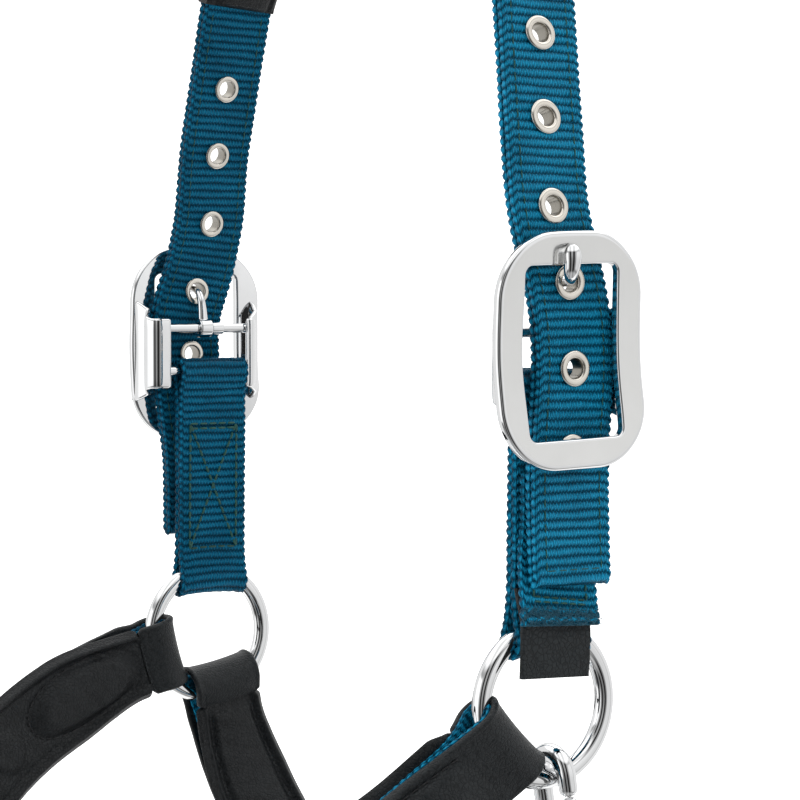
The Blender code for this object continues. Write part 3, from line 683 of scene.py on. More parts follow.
def crown_pts(off_z, off_x, out_z, out_y, side):
    z = np.arange(TAIL_Z, PAD_Z + 0.1, 1.0)
    y = crown_y(z)
    y = y + np.interp(z, out_z, out_y)
    lean = 0.07 * (np.sqrt((z - 132.0) ** 2 + 60.0) + (z - 132.0)) / 2
    lean = np.where(z > 110, lean, 0)
    ox = np.interp(z, off_z, off_x)
    for _ in range(40):
        ox[1:-1] = (ox[:-2] + 2 * ox[1:-1] + ox[2:]) / 4
        y[1:-1] = (y[:-2] + 2 * y[1:-1] + y[2:]) / 4
    p = np.stack([lean + ox, -y, z], 1)
    return p


def arch_pts(x0):
    y0 = float(crown_y(PAD_Z))
    b = bezier((0, y0, PAD_Z), (0, y0 - 10.2, PAD_Z + 44.8), (0, 42.0, TOP_Z), (0, 0, TOP_Z), 60)
    z = b[:, 2]
    lean = 0.07 * (np.sqrt((z - 132.0) ** 2 + 60.0) + (z - 132.0)) / 2
    k = 1 - sstep(z, PAD_Z, PAD_Z + 60)
    return np.stack([lean + x0 * k, -b[:, 1], z], 1)


NEAR_OFF = ([34, 60, 72, 92, 104, 115, 126, 137, 161, 192, 206], [3.4, 3.5, 3.9, 5.3, 4.9, 2.7, -0.8, -3.2, -2.9, -2.4, -2.0])
FAR_OFF = ([34, 60, 80, 96, 108, 118, 126, 138, 160, 182, 206], [0.5, -0.5, -3.6, -5.8, -5.2, -1.0, 1.6, 3.2, 0.6, 0.0, -0.4])
near_side = crown_pts(*NEAR_OFF, [34, 44, 60, 206], [1.7, 0.9, 0.0, 0.0], "near")
far_side = crown_pts(*FAR_OFF, [34, 44, 60, 206], [1.0, 0.5, 0.0, 0.0], "far")
near_arch = arch_pts(near_side[-1, 0] - (0.07 * (math.sqrt(74.0 ** 2 + 60) + 74) / 2))
far_arch = arch_pts(far_side[-1, 0] - (0.07 * (math.sqrt(74.0 ** 2 + 60) + 74) / 2))
COURSE_NEAR = Course(np.concatenate([near_side, near_arch[1:]]), [(1, 0, 0), (1, 0, 0)], (0, -1, 0), level=0.85)
COURSE_FAR = Course(np.concatenate([far_side, far_arch[1:]]), [(1, 0, 0), (1, 0, 0)], (0, -1, 0), level=0.6)


def s_of_z(course, z):
    k = int(np.argmax(course.p[:, 2]))
    return float(np.interp(z, course.p[:k + 1, 2], course.s[:k + 1]))


def hole_u(pre, z):
    """Punched holes wander a little off the strap's middle."""
    return float(np.interp(z, [69.8, 92.6, 116.2, 136.5], [-0.3, -0.8, 0.3, 0.0])) * HOLE_SIGN if pre == "near" else float(np.interp(z, [69.8, 93.8, 115.0, 138.0], [0.2, 1.6, 0.6, 0.0])) * HOLE_SIGN


HOLE_SIGN = 1.0


def make_crown(pre, course, hi_mat, mirror, holes_z):
    s_top = s_of_z(course, PAD_Z) + 9.0
    h = 1.13
    tail = [(s_top - i, h) for i in np.arange(0, s_top - 1.2, 1.0)]
    fold = [(1.2 - h * math.sin(t), h * math.cos(t)) for t in np.linspace(0, math.pi, 12)]
    path = tail + fold + [(s, -h) for s, _ in reversed(tail)]
    path = [(s, n) for s, n in reversed(path)]       # inner face up-side first, outward normal on the left
    ln = Line(course, path, PITCH / 9)
    # distance along the layer for a strap position s on either face
    half = ln.length / 2
    fold_l = math.pi * h / 2
    def a_of(s, outer):
        x = fold_l + (s - 1.2)
        return half + x if outer else half - x
    hs = []
    for z in holes_z:
        s = s_of_z(course, z)
        hs += [(a_of(s, True), hole_u(pre, z)), (a_of(s, False), hole_u(pre, z))]
    webbing(pre + "_crown_strap", ln, 12.9 if pre == "near" else 12.5, 1.06, hi_mat, "crown", ("crown_strap",), nface=30, nedge=6, holes=hs, mirror=mirror)
    runs = []
    for outer in (True, False):
        for u in (-9.3, 9.3):
            a0, a1 = a_of(3.4, outer), a_of(s_top - 8, outer)
            runs.append((a0, u, a1, u, 0.92))
        runs.append((a_of(3.6, outer), -9.3, a_of(3.6, outer), 9.3, 1.02))
    stitches(pre + "_crown_stitching", ln, runs, M_GRN, "crown", mirror=mirror, r=0.17)
    # eyelets: rolled flange outside, flat washer inside, one barrel
    for i, z in enumerate(holes_z):
        s = s_of_z(course, z)
        c, t, w, n = [x[0] for x in course.at([s])]
        c = c + w * hole_u(pre, z)
        prof = []
        for ang in np.linspace(-25, 180, 12):
            r_ = math.radians(ang)
            prof.append((3.86 + 1.12 * math.cos(r_), 2.30 + 0.62 * math.sin(r_)))
        prof += [(2.66, 1.6), (2.62, 0.0), (2.64, -1.7)]
        for ang in np.linspace(180, 345, 9):
            r_ = math.radians(ang)
            prof.append((3.55 + 0.88 * math.cos(r_), -2.28 + 0.42 * math.sin(r_)))
        prof += [(3.9, -2.0), (2.98, -1.7), (2.96, 1.7), (3.9, 2.05)]
        ob = turn("%s_eyelet_%d_rolled" % (pre, i + 1), prof, c, n, w, M_NIC, "crown", ("%s_eyelet_%d" % (pre, i + 1),), 48, True, mirror)
        # the barrel faces inside the hole take the darker nickel: painted shade
        ob.data.materials.append(M_NIC_SHADE)
        mi = np.zeros((48, len(prof)), np.int32)
        mi[:, 11:15] = 1
        if len(ob.data.polygons) == mi.size:
            ob.data.polygons.foreach_set("material_index", mi.ravel())
    return ln


make_crown("near", COURSE_NEAR, M_WEB, False, (69.8, 92.6, 116.2, 136.5, 160.9, 184.3))
# far crown strap in the darker webbing copy: painted shade
make_crown("far", COURSE_FAR, M_WEB_SHADE, True, (69.8, 93.8, 115.0, 138.0, 160.7, 182.6))


# ================================================================== crown sleeve
def crown_sleeve():
    a = COURSE_NEAR.at(np.arange(s_of_z(COURSE_NEAR, PAD_Z), COURSE_NEAR.length + 0.01, 1.0))
    b = COURSE_FAR.at(np.arange(s_of_z(COURSE_FAR, PAD_Z + 2.6), COURSE_FAR.length + 0.01, 1.0))
    pts = np.concatenate([a[0], (b[0] * (1, -1, 1))[::-1][1:]])
    c = Course(pts, [(1, 0, 0), (1, 0, 0)], (0, -1, 0))
    L = c.length
    s = np.arange(0, L + 0.01, 1.2)
    C, T, W, Nn = c.at(s)
    k = 72
    th = np.linspace(0, 2 * np.pi, k, endpoint=False)
    cx, sx = np.cos(th), np.sin(th)
    e = np.minimum(s, L - s)
    puff = 0.62 + 0.38 * sstep(e, 0, 16)
    ox = 18.3 * np.sign(cx) * np.abs(cx) ** 0.62
    oy = 7.6 * np.sign(sx) * np.abs(sx) ** 0.82
    X = ox[None] * (0.79 - 0.05 * (1 - sstep(L - s, 0, 30)) + 0.21 * sstep(e, 0, 34))[:, None]
    Yy = oy[None] * puff[:, None]
    # sewn channels 5 mm inside each long edge, and soft creases along the length
    ch = np.exp(-((np.abs(ox[None]) - 13.4) / 0.9) ** 2)
    Yy = Yy - np.sign(Yy) * 1.15 * ch
    wr = 0.22 * np.sin(s * 0.42)[:, None] * np.exp(-(X / 9.0) ** 2) + 0.12 * np.sin(s * 0.93 + 1.0)[:, None]
    Yy = Yy + np.sign(sx)[None] * wr * 0.6
    end = 1 - sstep(e, 0, 1.6)
    Yy = Yy * (1 - 0.28 * end)[:, None]
    X = X * (1 - 0.03 * end)[:, None] + (0.4 * (1 - sstep(L - s, 0, 30)))[:, None]
    outer = C[:, None] + X[..., None] * W[:, None] + Yy[..., None] * Nn[:, None]
    ix = 13.0 * np.clip(cx * 1.3, -1, 1)
    iy = 2.75 * np.clip(sx * 4, -1, 1)
    inner = C[:, None] + ix[None, :, None] * W[:, None] + iy[None, :, None] * Nn[:, None]
    Vv = np.concatenate([outer.reshape(-1, 3), inner.reshape(-1, 3)])
    n = len(s)
    i, j = np.meshgrid(np.arange(n - 1), np.arange(k), indexing="ij")
    j2 = (j + 1) % k
    q1 = np.stack([i * k + j, i * k + j2, (i + 1) * k + j2, (i + 1) * k + j], -1).reshape(-1, 4)
    o = n * k
    q2 = np.stack([o + i * k + j, o + (i + 1) * k + j, o + (i + 1) * k + j2, o + i * k + j2], -1).reshape(-1, 4)
    jj = np.arange(k)
    jn = (jj + 1) % k
    q3 = np.stack([jj, o + jj, o + jn, jn], -1)
    b0 = (n - 1) * k
    q4 = np.stack([b0 + jj, b0 + jn, o + b0 + jn, o + b0 + jj], -1)
    ob = add("crown_sleeve", Vv, np.concatenate([q1, q2, q3, q4]), M_PAD, None, False, "crown", ("crown_pad", "crown_strap"))
    ln = Line(c, [(x, 0.0) for x in np.arange(0, L, 2.0)], 2.0)
    runs = []
    for u in (-12.6, 12.6):
        for sg, v in ((1, 4.1), (-1, -4.1)):
            runs.append((36.0, u, L - 36.0, u, v))
    stitches("crown_sleeve_stitching", ln, runs, M_BLK, "crown", length=2.6, gap=0.7, r=0.24)
    return ob


crown_sleeve()


# ================================================================== buckles
def outline(w, h, r, n, pw=1.0):
    out = []
    for cx, cz, a0 in ((w / 2 - r, h / 2 - r, 0), (-w / 2 + r, h / 2 - r, 90),
                       (-w / 2 + r, -h / 2 + r, 180), (w / 2 - r, -h / 2 + r, 270)):
        for i in range(n + 1):
            a = math.radians(a0 + 90.0 * i / n)
            out.append((cx + r * math.cos(a), cz + r * math.sin(a)))
    return np.array(out)


def dense(poly, n):
    """Even points round a closed outline, starting at the same angle for every outline."""
    a = np.arctan2(poly[:, 1], poly[:, 0])
    q, _, _ = resample(poly, 1.0, True, 2400)
    ang = np.unwrap(np.arctan2(q[:, 1], q[:, 0]))
    if ang[-1] < ang[0]:
        q, ang = q[::-1], ang[::-1]
    tgt = np.linspace(-math.pi, math.pi, n, endpoint=False)
    ang2 = np.mod(ang + math.pi, 2 * math.pi) - math.pi
    o = np.argsort(ang2)
    return np.stack([np.interp(tgt, ang2[o], q[o, k], period=2 * math.pi) for k in (0, 1)], 1)


def buckle(pre, cx, tilt, mirror, mat_face, rims, W=48.6):
    n = 420
    ang = np.linspace(-math.pi, math.pi, n, endpoint=False)
    outer = dense(outline(W, 63.8, 17.5, 24), n)
    inner = dense(outline(31.0, 47.2, 2.4, 16), n)
    # the bars are not straight: the front one bulges forward, the rear one has a slight waist
    for q, kf, kr in ((outer, -1.0, -0.7), (inner, -1.5, -0.5)):
        side = np.exp(-((q[:, 1] + 1.5) / 15.0) ** 2)
        low = np.exp(-((q[:, 1] + 19.0) / 8.0) ** 2)
        fr_ = sstep(-q[:, 0], 8, 15)
        re_ = sstep(q[:, 0], 8, 15)
        q[:, 0] += fr_ * kf * side + re_ * (kr * side + 0.35 * low)
    # and the upper edge is slightly arched
    outer[:, 1] += 0.9 * sstep(outer[:, 1], 12, 30) * np.clip(1 - (outer[:, 0] / 19.0) ** 2, 0, 1)

    def nrm(q):
        t = np.roll(q, -1, 0) - np.roll(q, 1, 0)
        m = np.stack([t[:, 1], -t[:, 0]], 1)
        m /= np.linalg.norm(m, axis=1)[:, None]
        for _ in range(2):
            m = (np.roll(m, 1, 0) + 2 * m + np.roll(m, -1, 0)) / 4
        return m / np.linalg.norm(m, axis=1)[:, None]
    no, ni = nrm(outer), nrm(inner)
    rows = []
    bo, bi, bb = 1.5, 0.7, 0.8
    for a in np.linspace(0, 90, 7):
        c, s = math.cos(math.radians(a)), math.sin(math.radians(a))
        rows.append((outer - no * bo * (1 - c), FR_OUT - bo * 0.8 + bo * 0.8 * s))
    A, B = outer - no * bo, inner + ni * bi
    nf = 16
    first_flat = len(rows) - 1
    for i in range(1, nf):
        t = i / nf
        rows.append((A * (1 - t) + B * t, np.full(n, FR_OUT)))
    for a in np.linspace(90, 0, 5):
        c, s = math.cos(math.radians(a)), math.sin(math.radians(a))
        rows.append((inner + ni * bi * (1 - c), FR_OUT - bi + bi * s))
    last_flat = len(rows) - 5
    for a in np.linspace(0, 90, 4):
        c, s = math.cos(math.radians(a)), math.sin(math.radians(a))
        rows.append((inner + ni * bb * (1 - c), FR_IN + bb - bb * s))
    for a in np.linspace(90, 0, 4):
        c, s = math.cos(math.radians(a)), math.sin(math.radians(a))
        rows.append((outer - no * bb * (1 - c), FR_IN + bb - bb * s))
    V = []
    ct, st = math.cos(math.radians(tilt)), math.sin(math.radians(tilt))
    gx = TONGUE_X[pre] - cx
    for k, (q, y) in enumerate(rows):
        bow = 1.5 * (q[:, 1] / 32.0) ** 2 - 0.9
        # groove for the tongue across the top bar
        g = np.exp(-(np.abs(q[:, 0] - gx) / 3.3) ** 4) * (1 - sstep(q[:, 1], 26.5, 29.5)) * (q[:, 1] > 20)
        if k < len(rows) - 8:
            y = y - 1.7 * g
        x = q[:, 0] * ct + q[:, 1] * st
        z = -q[:, 0] * st + q[:, 1] * ct
        V.append(np.stack([x + cx, -(y + bow), z + FR_Z], 1))
    V = np.stack(V, 0)
    m = len(rows)
    i, j = np.meshgrid(np.arange(m), np.arange(n), indexing="ij")
    i2, j2 = (i + 1) % m, (j + 1) % n
    q = np.stack([i * n + j, i2 * n + j, i2 * n + j2, i * n + j2], -1).reshape(-1, 4)
    ob = add(pre + "_buckle_plate", V.reshape(-1, 3), q, M_CHR, None, mirror, "crown", (pre + "_buckle_frame",))
    ob.data.materials.append(mat_face)
    mi = np.zeros((m, n), np.int32)
    mi[first_flat:last_flat] = 1
    if len(ob.data.polygons) == m * n:
        ob.data.polygons.foreach_set("material_index", mi.ravel())
    # two walls: the plate turned back, leaning in, with a flat lip that carries the bars
    for sx, xr in zip((-1, 1), rims):
        m2 = 48
        lip = 5.4 if (pre == "far" and sx < 0) else 2.6
        xb = cx + sx * (21.0 if sx > 0 else 23.4 if pre == "far" else 22.0)
        kb = (0.5, 1.7) if pre == "far" else (1.6, 4.2)
        ctl = np.array([[xb, 107.2], [xb - sx * kb[0], 103.6], [xb - sx * kb[1], 99.2], [xr + sx * (0.8 * lip), 95.2],
                        [xr + sx * (0.62 * lip), 92.0], [xr + sx * (0.3 * lip), 91.15], [xr - sx * (0.2 * lip), 91.0],
                        [xr - sx * (0.45 * lip), 91.0]])
        kk = np.concatenate([[0], np.cumsum(np.linalg.norm(np.diff(ctl, axis=0), axis=1))])
        tt = np.linspace(0, kk[-1], 90)
        line_ = np.stack([np.interp(tt, kk, ctl[:, q]) for q in (0, 1)], 1)
        for _ in range(9):
            line_[1:-1] = (line_[:-2] + 2 * line_[1:-1] + line_[2:]) / 4
        d_ = np.gradient(line_, axis=0)
        d_ /= np.linalg.norm(d_, axis=1)[:, None]
        nn = np.stack([-d_[:, 1], d_[:, 0]], 1)
        secs = []
        for q in range(0, 90, 2):
            t = q / 88.0
            z0 = 78.0 + 4.6 * sstep(t, 0.0, 0.75)
            z1 = 112.0 - 6.2 * sstep(t, 0.0, 0.75)
            e = 1.0 if t < 0.94 else math.sqrt(max(1 - ((t - 0.94) / 0.064) ** 2, 0.08))
            hx = (1.0 + 0.25 * sstep(t, 0.5, 0.8)) * e
            sec = []
            for a in np.linspace(0, 2 * math.pi, m2, endpoint=False):
                c, s_ = math.cos(a), math.sin(a)
                pr = hx * math.copysign(abs(c) ** 0.6, c)
                hz = (z1 - z0) / 2 - 0.7 * (1 - e)
                sec.append((line_[q, 0] + nn[q, 0] * pr, -(line_[q, 1] + nn[q, 1] * pr),
                            (z0 + z1) / 2 + hz * math.copysign(abs(s_) ** 0.2, s_)))
            secs.append(sec if sx > 0 else sec[::-1])
        v, q_, u_ = grid(np.array(secs), np.arange(len(secs)) * 1.0, np.zeros((len(secs), m2)), False, True)
        add("%s_buckle_wall_%s" % (pre, "rear" if sx > 0 else "front"), v, q_, M_CHR, u_, mirror, "crown", (pre + "_buckle_frame",))
    for nm, z, r in (("tongue_bar", TONGUE_Z, 1.55), ("strap_bar", STRAP_Z, 1.7)):
        x = np.linspace(rims[0] + 0.4, rims[1] - 0.4, 16)
        pts = np.stack([x, np.full(16, -BAR_Y), np.full(16, z)], 1)
        rod("%s_buckle_%s" % (pre, nm), pts, r, M_CHR, "crown", (pre + "_buckle_frame",), nc=28, upv=(0, 0, 1), mirror=mirror)
    off = NEAR_X if pre == "near" else FAR_X
    prof = round_profile([(1.62, 2.6), (2.15, 2.6), (2.15, 6.8), (1.62, 6.8)], 0.3)
    turn(pre + "_tongue_bar_collar", prof, (off, -BAR_Y, TONGUE_Z), (1, 0, 0), (0, 0, 1), M_CHR, "crown", (pre + "_buckle_frame",), 40, True, mirror)
    # tongue: a loop round the bar, a rod through the eyelet and a drop-shaped head in the groove
    prof = round_profile([(1.68, -2.3), (3.15, -2.3), (3.15, 2.3), (1.68, 2.3)], 1.1, 6)
    turn(pre + "_tongue_knuckle", prof, (off, -BAR_Y, TONGUE_Z), (1, 0, 0), (0, 0, 1), M_CHR, pre + "_tongue", (pre + "_buckle_tongue",), 44, True, mirror)
    ctl = np.array([(0, -93.7, 104.6), (0, -94.2, 108.5), (0, -95.1, 112.2), (0, -97.0, 114.9), (0, -99.4, 115.7),
                    (0, -101.8, 115.7), (0, -104.4, 116.1), (0, -107.2, 117.3), (0, -109.2, 119.6), (0, -110.1, 122.6), (0, -110.2, 125.2), (0, -109.6, 127.6)])
    ctl[:, 0] += off + (TONGUE_X[pre] - off) * sstep(-ctl[:, 1], 103.8, 109.4)
    if pre == "near":
        ctl[:, 2] -= 1.3 * sstep(-ctl[:, 1], 105.0, 109.0)
        ctl[:, 2] += 0.35 * sstep(-ctl[:, 1], 95.5, 98.5) * (1 - sstep(-ctl[:, 1], 103.0, 107.0))
    p, _, _ = resample(ctl, 0.5)
    for _ in range(14):
        p[1:-1] = (p[:-2] + 2 * p[1:-1] + p[2:]) / 4
    k = np.linspace(0, 1, len(p))
    end = np.sqrt(np.clip(1 - np.clip((k - 0.9) / 0.1, 0, 1) ** 2, 0.02, 1))
    wide = np.interp(k, [0, 0.25, 0.45, 0.62, 0.78, 0.9, 1], [1.75, 1.3, 1.1, 1.25, 2.1, 2.5, 2.5]) * end
    thick = np.interp(k, [0, 0.25, 0.45, 0.62, 0.78, 0.9, 1], [1.3, 1.2, 1.15, 1.3, 1.75, 1.7, 1.5]) * end
    rod(pre + "_tongue_rod", p, 1.0, M_CHR, pre + "_tongue", (pre + "_buckle_tongue",), nc=32, upv=(1, 0, 0), mirror=mirror, ru=wide, rw=thick)


NEAR_X = float(np.interp(115.4, near_side[:, 2], near_side[:, 0]))
FAR_X = float(np.interp(115.4, far_side[:, 2], far_side[:, 0]))
TONGUE_X = {"near": -1.7, "far": FAR_X}
buckle("near", 0.7, -2.2, False, M_FACE, (-12.4, 17.2))
buckle("far", 2.0, -0.6, True, M_FACE, (-18.2, 14.2))


# ================================================================== cheek loops
def cheek_loop(pre, x0, x1, mat, mirror):
    c = Course(np.linspace((x0, -HALF_W, RING_R - 2.9), (x1, -BAR_Y, STRAP_Z), 5), [(1, 0, 0), (1, 0, 0)], (0, -1, 0))
    up_ = half_path(c.length, 2.75 + 1.05, 2.35 + 1.05, 1.12, 19.0, 12.0)
    ln = Line(c, closed_path(up_), PITCH / 9, True, (RING_R, 0), sagk=0.22)
    webbing(pre + "_cheek_loop_webbing", ln, 12.5, 1.0, mat, "crown", (pre + "_cheek_loop",), nface=30, nedge=6, mirror=mirror, phase0=0.3)
    return c, ln


c_near, l_near = cheek_loop("near", 0.6, 2.6, M_WEB, False)
# far cheek loop in the darker webbing copy: painted shade
c_far, l_far = cheek_loop("far", 0.8, 0.6, M_WEB_SHADE, True)


def face_a(line, s, sign):
    """Distance along a closed loop of the face point at strap position s; sign +1 outer, -1 inner."""
    ok = np.where(line.h * sign > 0)[0]
    return float(line.a[ok[np.argmin(np.abs(line.s[ok] - s))]])


# far side: box and cross of green thread on the inner face, double row at the top
def xbox(pre, ln, sign, s0, s1, hu, mirror, second=True):
    a0, a1 = face_a(ln, s0, sign), face_a(ln, s1, sign)
    v = 0.93
    runs = [(a0, -hu, a0, hu, v), (a1, -hu, a1, hu, v), (a0, -hu, a1, -hu, v), (a0, hu, a1, hu, v),
            (a0, -hu, a1, hu, v), (a0, hu, a1, -hu, v)]
    if second:
        d = 1.6 if a1 > a0 else -1.6
        runs.append((a1 - d, -hu, a1 - d, hu, v))
    stitches(pre + "_loop_box_stitching", ln, runs, M_GRN, "crown", length=2.6, gap=0.4, r=0.40, lift=0.10, mirror=mirror)


xbox("far", l_far, -1, 11.0, 52.5, 8.8, True)
xbox("near", l_near, -1, 11.0, 52.5, 8.8, False)

# near side: outer flap with a cut end above the ring, and the leather tab under it
c_out = Course(np.array([(2.7, -97.75, 64.0), (2.6, -97.8, 50.0), (2.0, -98.0, 44.0), (1.3, -99.0, 38.5), (0.6, -100.3, 34.5),
                         (0.0, -101.5, 31.0), (-0.5, -102.7, 27.5), (-0.8, -103.5, 24.6), (-0.9, -103.8, 22.6)]), [(1, 0, 0.06), (1, 0, 0.06)], (0, -1, 0))
ln_out = Line(c_out, [(x, 0.0) for x in np.arange(0, c_out.length, 1.0)] + [(c_out.length, 0.0)], PITCH / 9)
webbing("near_loop_flap", ln_out, 12.6, 0.95, M_WEB, "crown", ("near_cheek_loop",), nface=34, nedge=6, phase0=0.15, fray=4.6)
runs = [(ln_out.length - k, -8.6, ln_out.length - k, 8.6, 0.9) for k in (6.0, 7.3)]
runs += [(ln_out.length - 7.3, -8.6, ln_out.length - 30, -8.6, 0.9), (ln_out.length - 7.3, 8.6, ln_out.length - 30, 8.6, 0.9)]
stitches("near_flap_stitching", ln_out, runs, M_GRN, "crown", length=2.2, gap=0.45, r=0.3, lift=0.12)


def frayed(name, line, a0, a1, hw, mat, body, n=1500):
    """Short loose fibres over the cut end of a webbing layer."""
    rng = np.random.default_rng(7)
    vs, qs = [], []
    b = 0
    for i in range(n):
        u = rng.uniform(-hw, hw)
        end = rng.random() < 0.35
        s0 = a1 - rng.uniform(0.0, 0.5) if end else rng.uniform(a0, a1)
        v = rng.uniform(-0.7, 0.9) if end else 0.95
        if end:
            d = (rng.uniform(0.2, 0.9), rng.normal(0, 0.5), rng.normal(0.1, 0.35))
        else:
            d = (rng.normal(0.1, 0.7), rng.normal(0, 0.8), rng.uniform(0.05, 0.5))
        P = line.point([s0, s0 + d[0] * 0.5, s0 + d[0]], [u, u + d[1] * 0.5, u + d[1]], [v - 0.1, v + d[2] * 0.9, v + d[2] * 0.6])
        t = unit(P[2] - P[0] + 1e-6)
        a_ = unit(np.cross(t, (0.31, 0.9, 0.22)))
        b_ = np.cross(t, a_)
        for p, r in zip(P, (0.15, 0.13, 0.06)):
            for k in range(3):
                an = k * 2 * math.pi / 3
                vs.append(p + r * (math.cos(an) * a_ + math.sin(an) * b_))
        for r_ in (0, 3):
            for k in range(3):
                qs.append((b + r_ + k, b + r_ + (k + 1) % 3, b + r_ + 3 + (k + 1) % 3, b + r_ + 3 + k))
        b += 9
    uv = np.tile(np.array([[0, 0], [0.01, 0], [0.01, 0.01], [0, 0.01]], np.float32), (len(qs), 1, 1))
    return add(name, np.array(vs), np.array(qs), mat, uv, False, body, ())


frayed("near_flap_cut_fibres", ln_out, ln_out.length - 4.4, ln_out.length, 12.6, M_FUZ, "crown")

c_tab = Course(np.array([(-0.8, -98.6, 33.0), (-0.8, -99.3, 30.5), (-0.9, -100.7, 27.0), (-1.0, -101.8, 23.5), (-1.3, -102.3, 19.0),
                         (-1.6, -102.45, 13.5), (-1.8, -102.4, 8.3)]), [(1, 0, 0.02), (1, 0, 0.02)], (0, -1, 0))
ln_tab = Line(c_tab, [(x, 0.0) for x in np.linspace(0, c_tab.length, 60)], 0.45)
panel("near_tab_leather", ln_tab, np.full(len(ln_tab.a), 11.6),
      lambda F, H, a: 0.85 + 0.10 * np.sin(a * 0.9 + F * 2), lambda F, H, a: -0.85 + 0 * F, M_GRAIN, "crown", ("near_leather_tab",), edge=0.5)


# ================================================================== rings
def ring(name, ctr, axis, start, R, r, body, rep):
    v, q = turned(ring_profile(R, r, 32), 144, ctr, axis, start, True)
    return add(name, v, q, M_CHR, None, False, body, (rep,))


for nm, ctr in (("near_upper_ring", (0, -HALF_W, 0)), ("far_upper_ring", (0, HALF_W, 0)),
                ("near_side_ring", SIDE), ("far_side_ring", SIDE * (1, -1, 1))):
    ring(nm + "_polished", np.array(ctr, float), YV, (1, 0, 0), RING_R, RING_W, nm, nm)
ring("lead_ring_polished", LEAD_C, np.cross(CONN, YV), CONN, LEAD_R, LEAD_W, "lead_ring", "lead_ring")


